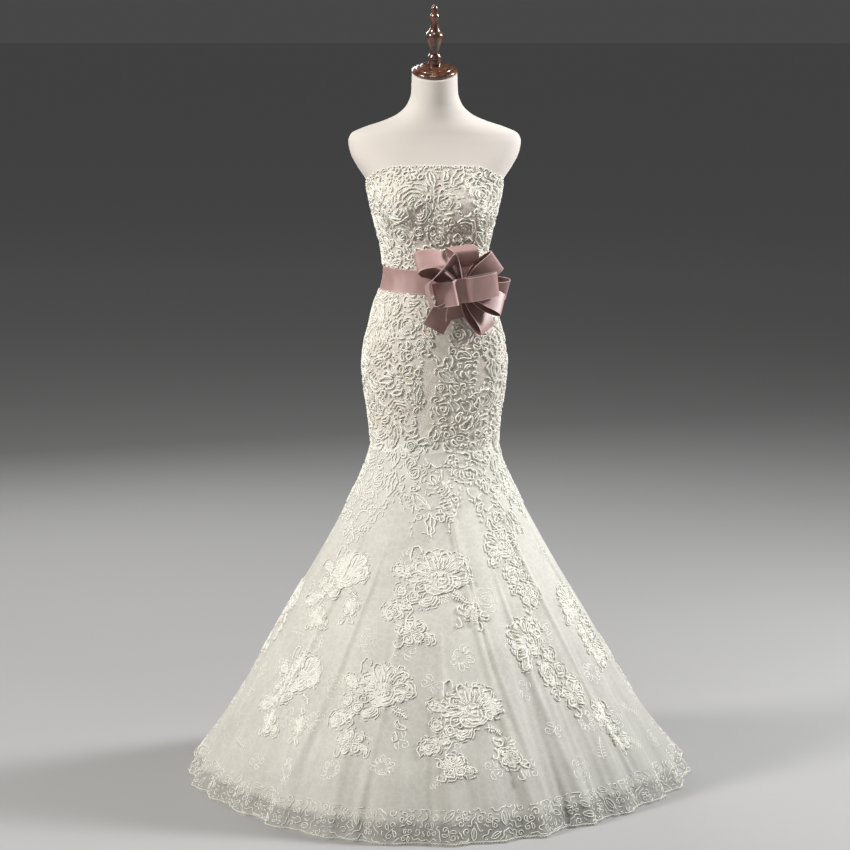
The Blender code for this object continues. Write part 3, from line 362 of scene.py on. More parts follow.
def shell(name, outer, inner, closed=False, coordinates=None):
    """A thin closed wall between two grids of points, rows by columns, that go up and to the right."""
    rows, columns = outer.shape[:2]
    count = rows * columns
    quads = [grid_quads(0, rows, columns, closed, False), grid_quads(count, rows, columns, closed, True)]
    index = np.arange(count).reshape(rows, columns)
    if closed:
        rims = [np.append(index[0], index[0, 0]), np.append(index[-1], index[-1, 0])[::-1]]
    else:
        rims = [np.concatenate([index[0], index[1:, -1], index[-1, -2::-1], index[-2::-1, 0]])]
    for rim in rims:
        quads.append(np.stack([rim[1:], rim[:-1], rim[:-1] + count, rim[1:] + count], axis=-1))
    points = np.concatenate([outer.reshape(-1, 3), inner.reshape(-1, 3)])
    if coordinates is not None:
        coordinates = np.concatenate([coordinates.reshape(-1, 2)] * 2)
    piece = new_piece(name, points, np.concatenate(quads).tolist(), coordinates)
    piece.data.set_sharp_from_angle(angle=CLOTH_CREASE)
    return piece


def run_along(points):
    """How far along a line of points each of them is."""
    return np.concatenate([[0], np.cumsum(np.linalg.norm(np.diff(points, axis=0), axis=-1))])


def finished(piece, material, slot, *nodes):
    piece.data.materials.append(material)
    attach(piece, "root")
    if nodes:
        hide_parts(*nodes)
    return piece


# Materials
def give(tree, socket, value):
    """Links another node's output to a socket, or sets the socket to a plain value."""
    if isinstance(value, bpy.types.NodeSocket):
        tree.links.new(value, socket)
    else:
        socket.default_value = value


def add_node(tree, kind, settings=(), **values):
    """A node with its settings, and with its inputs set or linked. An underscore stands for a space."""
    made = tree.nodes.new(kind)
    for name, value in dict(settings).items():
        setattr(made, name, value)
    for name, value in values.items():
        give(tree, made.inputs[int(name[1:]) if name[1:].isdigit() else name.replace("_", " ")], value)
    return made


def maths(tree, operation, first, second=0.0):
    return add_node(tree, "ShaderNodeMath", {"operation": operation}, _0=first, _1=second).outputs[0]


def vector_maths(tree, operation, **values):
    return add_node(tree, "ShaderNodeVectorMath", {"operation": operation}, **values)


def spread(tree, value, low, high, first=0.0, last=1.0):
    """Turns the range from low to high into first to last, and holds what lies past it."""
    limits = {"From_Min": low, "From_Max": high, "To_Min": first, "To_Max": last}
    return add_node(tree, "ShaderNodeMapRange", Value=value, **limits).outputs[0]


def blended(tree, share, first, second):
    """A colour between two, by a share."""
    return add_node(tree, "ShaderNodeMix", {"data_type": "RGBA"}, _0=share, _6=first, _7=second).outputs[2]


def cell_edges(tree, vector, scale, low, high, **values):
    """A mask of the lines between uneven cells, which fades out between two distances."""
    settings = {"feature": "DISTANCE_TO_EDGE"}
    cells = add_node(tree, "ShaderNodeTexVoronoi", settings, Vector=vector, Scale=scale, **values)
    return spread(tree, cells.outputs[0], low, high, 1.0, 0.0)


def mottle(tree, vector, scale, low, high):
    """Soft uneven patches, from low to high."""
    noise = add_node(tree, "ShaderNodeTexNoise", Vector=vector, Scale=scale, Detail=3.0)
    return spread(tree, noise.outputs[0], 0.3, 0.7, low, high)


def weave(tree, vector, threads):
    """Plain weave: the height of threads that cross."""
    parts = add_node(tree, "ShaderNodeSeparateXYZ", Vector=vector)
    waves = []
    for axis in (0, 1):
        turns = maths(tree, "MULTIPLY", maths(tree, "MULTIPLY", parts.outputs[axis], threads), math.pi)
        waves.append(maths(tree, "ABSOLUTE", maths(tree, "SINE", turns)))
    return maths(tree, "MAXIMUM", *waves)


def bobbin_net(tree, vector, scale):
    """The six-sided holes of bobbin net: a mask of its threads."""
    return cell_edges(tree, vector, scale, 0.08, 0.22, Randomness=0.35)


def tracery(tree, vector, scale):
    """Faint uneven cells outlined in thread, as worked all over the net."""
    stray = add_node(tree, "ShaderNodeTexNoise", Vector=vector, Scale=maths(tree, "MULTIPLY", scale, 0.7))
    shifted = vector_maths(tree, "SCALE", _0=stray.outputs[1], Scale=0.020)
    moved = vector_maths(tree, "ADD", _0=vector, _1=shifted.outputs[0])
    return cell_edges(tree, moved.outputs[0], scale, 0.03, 0.12)


GROUPS = {}
FINISHES = {}


def make_group(key, name, result, build, **numbers):
    """Keeps a node group that turns a vector and some numbers into one result."""
    tree = bpy.data.node_groups.new(name, "ShaderNodeTree")
    tree.interface.new_socket(name="Vector", in_out="INPUT", socket_type="NodeSocketVector")
    for label, value in numbers.items():
        socket = tree.interface.new_socket(name=label, in_out="INPUT", socket_type="NodeSocketFloat")
        socket.default_value = value
    tree.interface.new_socket(name=result, in_out="OUTPUT", socket_type="NodeSocketFloat")
    given, made = tree.nodes.new("NodeGroupInput"), tree.nodes.new("NodeGroupOutput")
    tree.links.new(build(tree, *given.outputs[:len(numbers) + 1]), made.inputs[0])
    GROUPS[key] = tree


class Finish:
    """A material with its Principled shader, and short ways to feed it."""

    def __init__(self, name, roughness, **constants):
        self.material = bpy.data.materials.new(name)
        self.material.use_nodes = True
        self.tree = self.material.node_tree
        self.shader = self.tree.nodes["Principled BSDF"]
        for label, value in {"Roughness": roughness, **constants}.items():
            self.shader.inputs[label.replace("_", " ")].default_value = value
        coordinates = self.tree.nodes.new("ShaderNodeTexCoord")
        self.solid = coordinates.outputs["Object"]
        self.cloth = coordinates.outputs["UV"]

    def group(self, key, **values):
        """The result of a node group, with its inputs set or linked."""
        made = self.tree.nodes.new("ShaderNodeGroup")
        made.node_tree = GROUPS[key]
        for name, value in values.items():
            give(self.tree, made.inputs[name], value)
        return made.outputs[0]

    def height(self):
        return add_node(self.tree, "ShaderNodeSeparateXYZ", Vector=self.solid).outputs[2]

    def noise(self, **values):
        return add_node(self.tree, "ShaderNodeTexNoise", Vector=self.solid, **values).outputs[0]

    def stripes(self, direction, **values):
        settings = {"bands_direction": direction}
        return add_node(self.tree, "ShaderNodeTexWave", settings, Vector=self.solid, **values).outputs[1]

    def mottled(self, first, second, scale):
        share = self.group("mottle", Vector=self.solid, Scale=scale, Low=0.0, High=1.0)
        return blended(self.tree, share, (*first, 1.0), (*second, 1.0))

    def worked(self, colour, mask, share, thread):
        """A colour with this share of the thread's colour where the mask says so."""
        return blended(self.tree, maths(self.tree, "MULTIPLY", mask, share), colour, (*thread, 1.0))

    def with_painted_shade(self, colour):
        """The colour with painted shade: greyer low down and most of all on the right."""
        low = vector_maths(self.tree, "DOT_PRODUCT", _0=self.solid, _1=PAINTED_SHADE_DIRECTION)
        share = spread(self.tree, low.outputs["Value"], *PAINTED_SHADE_RANGE, PAINTED_SHADE_MOST, 0.0)
        return blended(self.tree, share, colour, PAINTED_SHADE_COLOUR)

    def feed(self, socket, value):
        self.tree.links.new(value, self.shader.inputs[socket])

    def bump(self, height, distance, strength, under=None):
        made = add_node(self.tree, "ShaderNodeBump", Height=height, Distance=distance, Strength=strength)
        if under is not None:
            self.tree.links.new(under, made.inputs["Normal"])
        self.feed("Normal", made.outputs[0])
        return made.outputs[0]


# Where the net and the lining take painted shade: the height less a share of the way to the right
PAINTED_SHADE_DIRECTION = (-0.45, 0.0, 1.0)
PAINTED_SHADE_RANGE = (-0.15, 0.40)
PAINTED_SHADE_MOST = 0.60
PAINTED_SHADE_COLOUR = (0.40, 0.39, 0.365, 1.0)
# Where the ribbon's edges take a painted highlight, across its width from the middle line
PAINTED_EDGE_HIGHLIGHT = (0.0252, 0.0268)
SHEER_FADE = 0.006
SHEER_SHARE = 0.50


def lace_ground_finish(colours):
    """Crumpled net under the lace, which takes the skirt's colour where it runs out over the flare."""
    finish = Finish("Lace ground", 0.75, Sheen_Weight=0.15, Sheen_Roughness=0.4)
    threads = finish.group("net", Vector=finish.cloth, Scale=520.0)
    share = spread(finish.tree, finish.height(), KNEE_SEAM - 0.010, KNEE_SEAM + 0.050)
    own = finish.mottled(colours.ground_shade, colours.ground, 55.0)
    base = blended(finish.tree, share, (*colours.net, 1.0), own)
    finish.feed("Base Color", finish.worked(base, threads, 0.25, colours.cord))
    normal = finish.bump(finish.noise(Scale=190.0, Detail=2.0), 0.0012, 0.6)
    finish.bump(threads, 0.0003, 0.7, normal)
    return finish.material


def lace_cord_finish(colours):
    """Soft twisted cord with fine slanting threads."""
    finish = Finish("Lace cord", 0.62, Sheen_Weight=0.25, Sheen_Roughness=0.35)
    finish.feed("Base Color", finish.mottled(colours.cord_shade, colours.cord, 90.0))
    finish.bump(finish.stripes("DIAGONAL", Scale=420.0, Distortion=2.0), 0.0003, 0.5)
    return finish.material


def lace_petal_finish(colours):
    """The close-stitched filling inside petals and leaves."""
    finish = Finish("Lace petal", 0.66, Sheen_Weight=0.2, Sheen_Roughness=0.4)
    finish.feed("Base Color", finish.mottled(colours.petal_shade, colours.petal, 120.0))
    finish.bump(finish.stripes("DIAGONAL", Scale=150.0, Distortion=9.0, Detail=2.0), 0.0008, 0.6)
    return finish.material


def net_finish(colours):
    """Fine net in layers: an uneven veil that lets the lining show through, and is sheer below its hem."""
    finish = Finish("Ivory net", 0.8, Sheen_Weight=0.3, Sheen_Roughness=0.5)
    threads = finish.group("net", Vector=finish.cloth, Scale=420.0)
    lines = finish.group("tracery", Vector=finish.solid, Scale=62.0)
    plain = finish.mottled(colours.net_shade, colours.net, 9.0)
    # Painted shade: the net's colour turns greyer low down and on the right
    finish.feed("Base Color", finish.with_painted_shade(finish.worked(plain, lines, 0.45, colours.cord)))
    veil = finish.group("mottle", Vector=finish.solid, Scale=14.0, Low=0.46, High=0.60)
    low, high = LINING_HEM - SHEER_FADE, LINING_HEM + SHEER_FADE
    sheer = spread(finish.tree, finish.height(), low, high, SHEER_SHARE, 1.0)
    cover = maths(finish.tree, "ADD", veil, maths(finish.tree, "MULTIPLY", threads, 0.22))
    finish.feed("Alpha", maths(finish.tree, "MULTIPLY", cover, sheer))
    finish.bump(finish.noise(Scale=110.0, Detail=3.0), 0.0010, 0.5)
    return finish.material


def satin_finish(colours):
    finish = Finish("Ivory satin", 0.5, Sheen_Weight=0.1)
    # Painted shade: the lining's colour turns greyer low down and on the right
    finish.feed("Base Color", finish.with_painted_shade(finish.mottled(colours.satin_shade, colours.satin, 6.0)))
    finish.bump(finish.group("weave", Vector=finish.cloth, Threads=1300.0), 0.0002, 0.4)
    return finish.material


def ribbon_finish(colours):
    """Satin ribbon with a fine rib. Its edges, from the across coordinate, are a little lighter: a painted
    highlight.
    """
    finish = Finish("Mauve ribbon", 0.45, Sheen_Weight=0.3, Sheen_Roughness=0.3, Specular_IOR_Level=0.65)
    parts = add_node(finish.tree, "ShaderNodeSeparateXYZ", Vector=finish.cloth)
    edge = spread(finish.tree, maths(finish.tree, "ABSOLUTE", parts.outputs[1]), *PAINTED_EDGE_HIGHLIGHT)
    body = finish.mottled(colours.ribbon_shade, colours.ribbon, 28.0)
    # Painted highlight: a lighter band of colour along both edges of the ribbon
    finish.feed("Base Color", blended(finish.tree, edge, body, (*colours.ribbon_edge_highlight, 1.0)))
    finish.bump(finish.group("weave", Vector=finish.cloth, Threads=1400.0), 0.00015, 0.5)
    return finish.material


def jersey_finish(colours):
    finish = Finish("Form cover", 0.82, Sheen_Weight=0.25, Sheen_Roughness=0.5)
    finish.feed("Base Color", finish.mottled(colours.cover_shade, colours.cover, 7.0))
    finish.bump(finish.stripes("Z", Scale=180.0, Distortion=1.5, Detail=1.0), 0.0002, 0.25)
    return finish.material


def wood_finish(colours):
    """Dark turned wood under gloss varnish, with amber grain along the piece."""
    finish = Finish("Dark wood", 0.32, Coat_Weight=1.0, Coat_Roughness=0.06)
    stretch = add_node(finish.tree, "ShaderNodeMapping", Vector=finish.solid, Scale=(60.0, 60.0, 9.0))
    grain = add_node(finish.tree, "ShaderNodeTexNoise", Vector=stretch.outputs[0], Scale=1.6, Detail=5.0,
                     Distortion=0.6).outputs[0]
    share = spread(finish.tree, grain, 0.38, 0.66)
    finish.feed("Base Color", blended(finish.tree, share, (*colours.wood, 1.0), (*colours.wood_light, 1.0)))
    finish.bump(grain, 0.0003, 0.3)
    return finish.material


def metal_finish(colours):
    finish = Finish("Stand metal", 0.38, Metallic=0.7)
    finish.feed("Base Color", finish.mottled(colours.metal, tuple(c * 1.6 for c in colours.metal), 40.0))
    return finish.material


def make_finishes(colours):
    make_group("mottle", "Mottle", "Share", mottle, Scale=20.0, Low=0.0, High=1.0)
    make_group("weave", "Weave", "Height", weave, Threads=1500.0)
    make_group("net", "Bobbin net", "Threads", bobbin_net, Scale=600.0)
    make_group("tracery", "Tracery", "Lines", tracery, Scale=60.0)
    for name, maker in (
        ("ground", lace_ground_finish), ("cord", lace_cord_finish), ("petal", lace_petal_finish),
        ("net", net_finish), ("satin", satin_finish), ("ribbon", ribbon_finish),
        ("jersey", jersey_finish), ("wood", wood_finish), ("metal", metal_finish),
    ):
        FINISHES[name] = maker(colours)


# Lace drawn flat, in units of the motif's own size, with up as +y
def arc(x, y, radius, first, last, squash=1.0, grow=0.0):
    """An arc from one angle to another in degrees, whose radius may grow along it, as in a spiral."""
    count = max(6, int(abs(last - first) / 18))
    turn = np.radians(np.linspace(first, last, count))
    reach = radius + grow * np.linspace(0, 1, count)
    return np.stack([x + reach * np.cos(turn), y + reach * np.sin(turn) * squash], axis=-1)


def petal(x, y, degrees, length, width, bend=0.0):
    """A drop-shaped loop that leaves its root at an angle, bending as it goes."""
    t = np.linspace(0, 1, 17)
    along, across = length * np.sin(math.pi * t), width / 2 * np.sin(2 * math.pi * t)
    turn = math.radians(degrees) + bend * along / length
    sine, cosine = np.sin(turn), np.cos(turn)
    return np.stack([x + along * cosine - across * sine, y + along * sine + across * cosine], axis=-1)


def stem(x, y, degrees, length, bend=0.0):
    """A plain curved line that leaves its root at an angle."""
    t = np.linspace(0, 1, 9)
    turn = math.radians(degrees) + bend * t
    line = np.cumsum(np.stack([np.cos(turn), np.sin(turn)], axis=-1) * length / 8, axis=0)
    return line - line[0] + (x, y)


def lobed(x, y, radius, lobes, depth, first=0.0, last=360.0, squash=1.0):
    """A scalloped ring or part of one."""
    turn = np.linspace(first, last, max(12, int((last - first) / 9)))
    reach = radius * (1 + depth * np.abs(np.sin(np.radians(turn - first) * lobes / 2)) - depth)
    turn = np.radians(turn)
    return np.stack([x + reach * np.cos(turn), y + reach * np.sin(turn) * squash], axis=-1)


Motif = namedtuple("Motif", "cords plates")


def rose(squash=1.0):
    """A full rose: a rolled heart, broken rings round it and a rim of round petals."""
    cords = [arc(0, 0, 0.08, 0, 400, squash, 0.14)]
    for radius, count, offset in ((0.42, 3, 20), (0.62, 4, 65)):
        for k in range(count):
            first = offset + 360 / count * k
            cords.append(arc(0, 0, radius, first, first + 360 / count - 16, squash, -0.05))
    for k in range(6):
        turn = math.radians(60 * k)
        x, y = 0.66 * math.cos(turn), 0.66 * squash * math.sin(turn)
        cords.append(arc(x, y, 0.34, 60 * k - 66, 60 * k + 66, squash))
    return Motif(cords, [lobed(0, 0, 1.0, 6, 0.12, squash=squash)])


def bloom():
    """Half a bloom from the side: long shingled petals that fan out of a rolled heart, cupped from below."""
    cords = [arc(0.12, -0.10, 0.05, 0, 400, grow=0.11)]
    for radius in (0.30, 0.43):
        cords.append(arc(0.12, -0.10, radius, -150, 40))
    lengths = (1.02, 1.22, 1.08, 1.26, 1.10, 1.16, 0.98, 0.84)
    for k, length in enumerate(lengths):
        degrees = 186 - 26 * k
        bend = -0.30 * math.cos(math.radians(degrees))
        cords.append(petal(0.06, -0.08, degrees, length, 0.40, bend)[2:15])
        root = math.radians(degrees)
        x, y = 0.06 + 0.42 * math.cos(root), -0.08 + 0.42 * math.sin(root)
        cords.append(stem(x, y, degrees, length * 0.44, bend))
    cords.append(lobed(0.02, -0.12, 0.62, 4, 0.20, 196, 340, 0.9))
    petals = lobed(0.06, -0.08, 1.16, 8, 0.12, -10, 196)
    cup = lobed(0.02, -0.12, 0.62, 4, 0.2, 200, 336, 0.9)
    return Motif(cords, [np.concatenate([petals, cup])])


def fan():
    """Arcs one inside the other, like a folded bloom, with a scalloped rim."""
    cords = [arc(0, -0.5, radius, 24, 156) for radius in (0.36, 0.68, 1.0)]
    cords.append(lobed(0, -0.5, 1.36, 5, 0.14, 14, 166))
    plate = np.concatenate([lobed(0, -0.5, 1.36, 5, 0.14, 8, 172), np.array([[-0.4, -0.5], [0.4, -0.5]])])
    return Motif(cords, [plate])


def leaf():
    """A pointed leaf with a toothed edge and a midrib."""
    t = np.linspace(0, 1, 26)
    width = 0.40 * np.sin(math.pi * t) ** 0.75 * (1 + 0.20 * np.abs(np.sin(5 * math.pi * t)) - 0.10)
    right = np.stack([width, 2 * t - 1], axis=-1)
    left = np.stack([-width, 2 * t - 1], axis=-1)
    outline = np.concatenate([right, left[::-1][1:]])
    return Motif([outline, stem(0, -1.2, 90, 1.85, 0.06)], [outline[:-1]])


def veined():
    """A broad leaf with side veins."""
    plain = leaf()
    veins = []
    for k in range(3):
        up = -0.55 + 0.42 * k
        veins += [stem(0.06, up, 50, 0.30, 0.4), stem(-0.06, up, 130, 0.30, -0.4)]
    return Motif([line * (1.25, 1.0) for line in plain.cords + veins], [plain.plates[0] * (1.25, 1.0)])


def fern():
    """A bending stem with curved strokes on both sides."""
    spine = stem(0, -1.0, 98, 2.0, -0.5)
    cords = [spine]
    for k in range(1, 8):
        x, y = spine[k]
        size = 0.46 - 0.03 * k
        lean = 98 - 28 * k / 8
        cords.append(stem(x, y, lean - 40, size, -1.1)[1:])
        cords.append(stem(x, y, lean + 40, size, 1.1)[1:])
    return Motif(cords, [])


def scroll():
    """A stem that curls up at both ends, with small shoots."""
    cords = [arc(-0.35, 0.42, 0.33, 250, -170, grow=-0.22), arc(0.35, -0.42, 0.33, 70, -350, grow=-0.22)]
    cords.append(np.array([[-0.46, 0.12], [-0.2, 0.05], [0.0, 0.0], [0.2, -0.05], [0.46, -0.12]]))
    cords += [petal(0.12, 0.06, 48, 0.72, 0.34, 0.7), petal(-0.12, -0.06, 228, 0.72, 0.34, 0.7)]
    return Motif(cords, [])


def blossom():
    """A small open flower with five petals."""
    cords = [petal(0, 0, 72 * k + 18, 0.95, 0.66)[1:16] for k in range(5)]
    return Motif(cords, [lobed(0, 0, 1.0, 5, 0.25, -18, 342)])


def flower():
    """A larger open flower: five petals drawn twice round a ring."""
    cords = [arc(0, 0, 0.14, 0, 360)]
    for k in range(5):
        degrees = 72 * k + 18
        root = math.radians(degrees)
        x, y = 0.16 * math.cos(root), 0.16 * math.sin(root)
        cords += [petal(x, y, degrees, 0.86, 0.70), petal(x * 1.9, y * 1.9, degrees, 0.48, 0.26)]
    return Motif(cords, [lobed(0, 0, 1.02, 5, 0.25, -18, 342)])


def bud():
    """A round bud: one ring in another, in two cupped leaves."""
    cords = [arc(0, 0, 0.92, 0, 360), arc(0, 0, 0.46, 0, 360), arc(0, 0, 0.10, 0, 300)]
    cords += [arc(0, 0, 1.36, 200, 262), arc(0, 0, 1.36, 278, 340)]
    return Motif(cords, [arc(0, 0, 0.92, 0, 342)])


def comma():
    """A bent drop with a stroke inside it."""
    return Motif([petal(0, -0.95, 70, 1.9, 0.95, 0.8), stem(0.08, -0.35, 78, 0.8, 0.6)], [])


def crook():
    """A short stem that ends in a hook."""
    hook = arc(0, 0.35, 0.50, -30, 200)
    return Motif([np.concatenate([hook, [[-0.42, -0.1], [-0.22, -0.55], [0.02, -1.0]]])], [])


def wave():
    """A line that bends once each way."""
    t = np.linspace(-1, 1, 12)
    return Motif([np.stack([0.42 * np.sin(t * 3.0), t], axis=-1)], [])


def curl():
    return Motif([arc(0, 0, 0.22, 0, 420, grow=0.72)], [])


def twin():
    """Two bowed strokes side by side."""
    return Motif([arc(0, -0.6, 1.25, 40, 140), arc(0, -0.6, 0.55, 30, 150)], [])


def trefoil():
    return Motif([petal(0, -0.2, degrees, 1.0, 0.75)[1:16] for degrees in (20, 90, 160)], [])


MOTIFS = {
    made.__name__: made()
    for made in (rose, bloom, fan, leaf, veined, fern, scroll, blossom, flower, bud, comma, crook, wave,
                 curl, twin, trefoil)
}
MOTIFS["oval"] = rose(0.72)

# The parts of the three kinds of spray, in metres from the spray's middle: what, where, size, turn
Part = namedtuple("Part", "motif x y size degrees")
WIDE_SPRAY = rows(Part, (
    ("bloom", 0.024, 0.040, 0.056, 0), ("veined", -0.052, 0.054, 0.021, 62),
    ("crook", -0.026, 0.094, 0.021, -24), ("bud", -0.053, 0.012, 0.0125, 10),
    ("bud", -0.026, 0.000, 0.0115, -20), ("fan", 0.004, -0.008, 0.017, 200),
    ("oval", -0.070, -0.034, 0.025, 24), ("blossom", -0.040, -0.020, 0.012, 10),
    ("wave", -0.034, -0.042, 0.020, 10), ("flower", -0.026, -0.078, 0.027, 12),
    ("curl", -0.056, -0.074, 0.012, 60), ("crook", -0.050, -0.100, 0.016, 150),
    ("fan", 0.004, -0.092, 0.012, -30), ("fern", 0.072, -0.006, 0.022, -112),
    ("comma", 0.074, -0.034, 0.015, 200), ("crook", 0.070, -0.058, 0.013, 190),
    ("leaf", 0.080, 0.034, 0.014, -80),
))
LONG_SPRAY = rows(Part, (
    ("bloom", 0.006, 0.052, 0.034, 10), ("leaf", -0.024, 0.034, 0.017, 112),
    ("blossom", 0.020, 0.014, 0.012, 0), ("oval", -0.006, -0.004, 0.021, 60),
    ("bud", 0.018, -0.014, 0.010, 0), ("scroll", -0.016, -0.036, 0.019, 60),
    ("flower", 0.006, -0.056, 0.022, 190), ("crook", -0.014, -0.078, 0.012, 170),
    ("leaf", 0.024, -0.040, 0.012, 215),
))
SPRIG = rows(Part, (
    ("flower", -0.002, 0.012, 0.019, 16), ("comma", 0.014, -0.014, 0.012, 200),
    ("crook", -0.004, -0.026, 0.012, 160),
))
Spray = namedtuple("Spray", "degrees z half_length lean kind")
SPRAYS = rows(Spray, (
    (-4, 0.482, 0.112, 34, "wide"), (18, 0.440, 0.034, -25, "sprig"), (-55, 0.478, 0.096, 30, "wide"),
    (-40, 0.440, 0.036, 15, "sprig"), (-21, 0.258, 0.106, 34, "wide"), (8, 0.220, 0.106, 34, "wide"),
    (22, 0.148, 0.038, -25, "sprig"), (-57, 0.255, 0.100, 30, "wide"), (-45, 0.190, 0.038, 15, "sprig"),
    (46, 0.520, 0.100, -12, "long"), (46, 0.315, 0.124, -30, "long"), (76, 0.370, 0.104, -6, "long"),
    (64, 0.170, 0.070, -20, "long"), (-96, 0.380, 0.096, 24, "wide"), (-118, 0.210, 0.100, 30, "wide"),
    (108, 0.250, 0.100, -28, "wide"), (136, 0.420, 0.100, -28, "wide"), (-146, 0.410, 0.100, 28, "wide"),
    (158, 0.220, 0.104, -28, "wide"), (-164, 0.220, 0.104, 28, "wide"),
))
PETAL_THICK = 0.0006
SPRAY_CORD_STEP = 0.0030
SPRAY_CORD_HEIGHT = 1.4
# Each kind's parts, its own half length and its own lean
SPRAY_KINDS = {"wide": (WIDE_SPRAY, 0.106, 34), "long": (LONG_SPRAY, 0.088, 0), "sprig": (SPRIG, 0.036, 0)}

Rose = namedtuple("Rose", "degrees z radius")
ROSES = rows(Rose, (
    (-62, 1.345, 0.034), (-24, 1.352, 0.032), (12, 1.335, 0.030), (48, 1.350, 0.034), (-40, 1.262, 0.030),
    (4, 1.255, 0.034), (44, 1.258, 0.028), (-74, 1.232, 0.030), (80, 1.240, 0.030), (-34, 1.060, 0.034),
    (28, 1.040, 0.030), (-68, 1.020, 0.036), (70, 1.030, 0.034), (0, 0.985, 0.036), (44, 0.955, 0.034),
    (-40, 0.940, 0.038), (-80, 0.900, 0.034), (86, 0.920, 0.034), (10, 0.875, 0.038), (-24, 0.845, 0.034),
    (52, 0.850, 0.036), (120, 1.300, 0.034), (146, 1.250, 0.032), (-120, 1.300, 0.034), (-146, 1.250, 0.032),
    (125, 1.060, 0.034), (-125, 1.060, 0.034), (155, 0.985, 0.036), (-155, 0.985, 0.036),
    (112, 0.930, 0.036), (-112, 0.930, 0.036), (168, 0.880, 0.036), (-168, 0.880, 0.036),
    (135, 0.850, 0.036), (-135, 0.850, 0.036), (4, 0.700, 0.040), (-30, 0.735, 0.036), (34, 0.730, 0.036),
    (-62, 0.700, 0.038), (64, 0.690, 0.038), (-100, 0.720, 0.038), (100, 0.720, 0.038), (140, 0.700, 0.038),
    (-140, 0.700, 0.038),
))
# The other motifs worked between the roses: what, size, how far it may lean, how many tries
Filling = namedtuple("Filling", "motif size lean tries")
FILLINGS = rows(Filling, (
    ("bloom", 0.030, 60, 500), ("flower", 0.024, 180, 150), ("fan", 0.022, 180, 700),
    ("fern", 0.028, 60, 700), ("scroll", 0.026, 180, 800), ("leaf", 0.023, 60, 1200),
    ("comma", 0.019, 180, 1400), ("blossom", 0.014, 180, 1800), ("leaf", 0.016, 80, 1800),
    ("bud", 0.0095, 180, 1500), ("comma", 0.013, 180, 2500), ("trefoil", 0.011, 180, 2500),
    ("wave", 0.016, 180, 3500), ("curl", 0.0085, 180, 3500), ("crook", 0.012, 180, 4500),
    ("twin", 0.009, 180, 4500), ("crook", 0.009, 180, 6000), ("wave", 0.010, 180, 6000),
))
# Places where the lace leaves its ground bare: middle, half width, half height
Bare = namedtuple("Bare", "degrees z half_width half_height")
BARE = rows(Bare, (
    (-7, 0.945, 0.015, 0.048), (9, 1.020, 0.017, 0.032), (-13, 0.845, 0.017, 0.034),
    (52, 0.965, 0.013, 0.034), (2, 0.770, 0.024, 0.016), (16, 1.060, 0.012, 0.020),
    (32, 1.329, 0.014, 0.020), (-19, 1.246, 0.011, 0.010), (26, 1.356, 0.015, 0.010),
    (170, 1.040, 0.012, 0.030), (-150, 0.900, 0.012, 0.030), (100, 0.980, 0.012, 0.030),
))
# The lace thins out into clumps lower down: past this limit the ground stays bare
CLUMP_LIMIT = smooth_curve((0.56, 0.70, 0.80, 0.95, 1.20, 1.41), (0.8, 1.15, 1.7, 2.0, 2.5, 2.5))
# How low the close lace reaches on the flare, going round
LACE_EDGE = smooth_curve(
    (-180, -150, -120, -95, -75, -58, -44, -30, -16, 0, 14, 26, 40, 56, 74, 95, 120, 150, 180),
    (0.62, 0.66, 0.60, 0.65, 0.60, 0.57, 0.62, 0.68, 0.61,
     0.60, 0.63, 0.70, 0.60, 0.58, 0.62, 0.65, 0.60, 0.66, 0.62),
)


class Lace:
    """Cords and petals laid on the gown, gathered up until they are made into pieces."""

    def __init__(self):
        self.cords = []
        self.plates = []

    def lay(self, motif, angle, z, size, degrees, width, mirrored=False, dx=0.0, dy=0.0):
        """Lays a motif with its middle at this place. dx and dy move it over the cloth."""
        turn = math.radians(degrees)
        for kind, lines in (("cord", motif.cords), ("plate", motif.plates)):
            for line in lines:
                x, y = line[:, 0] * size, line[:, 1] * size
                if mirrored:
                    x = -x
                right = x * math.cos(turn) - y * math.sin(turn) + dx
                up = x * math.sin(turn) + y * math.cos(turn) + dy
                angles, heights = over_cloth(angle, z, right, up)
                if kind == "cord":
                    self.cords.append((angles, heights, width))
                else:
                    flip = shoelace(right, up) < 0
                    self.plates.append((angles[::-1], heights[::-1]) if flip else (angles, heights))


def shoelace(x, y):
    """The signed area inside a closed outline."""
    return float((x * np.roll(y, -1) - np.roll(x, -1) * y).sum() / 2)


def over_cloth(angle, z, right, up):
    """The places on the gown that lie this far across and up the cloth from one of its places."""
    slope = float(SKIN.read(SMOOTH_UP, np.array([angle]), np.array([z]))[0])
    heights = z + up / math.sqrt(1 + slope * slope)
    return angle + right / plain_radius(np.full(heights.shape, angle), heights, BODY_WALL), heights


def plain_radius(angle, z, wall=0.0):
    """The gown's radius without its folds."""
    body = figure_radius(angle, np.maximum(z, KNEE_SEAM)) + wall
    return np.where(z >= KNEE_SEAM, body, skirt_base(angle, z))


def smooth_slope():
    """The slope of the gown without its folds, on the skin's grid."""
    angle, z = np.meshgrid(np.arange(Skin.COLUMNS) * SKIN.turn - math.pi, np.arange(Skin.ROWS) * SKIN.rise)
    return np.gradient(plain_radius(angle, z), SKIN.rise, axis=0)


SMOOTH_UP = smooth_slope()
# A line up the flare is about this much longer than its rise
CLIMB = 1.1


def evenly(angles, heights, step):
    """The same line with points about a step apart, by its length over the cloth."""
    radius = SKIN.read(SKIN.radius, angles, heights)
    across = np.diff(angles) * (radius[1:] + radius[:-1]) / 2
    length = np.concatenate([[0], np.cumsum(np.hypot(across, np.diff(heights) * CLIMB))])
    count = max(3, int(round(length[-1] / step)) + 1)
    places = np.linspace(0, length[-1], count)
    return np.interp(places, length, angles), np.interp(places, length, heights)


# A cord's section: how far across and how high each corner is, in shares of its width
CORD_SECTION = ((-0.5, -0.08), (0.5, -0.08), (0.27, 0.66), (-0.27, 0.66))
CORD_TIP = 0.45
MARK_STEP = 0.002
LOWEST_CORD = 0.0025
LOWEST_PETAL = 0.003
PETAL_SINK = 0.0002


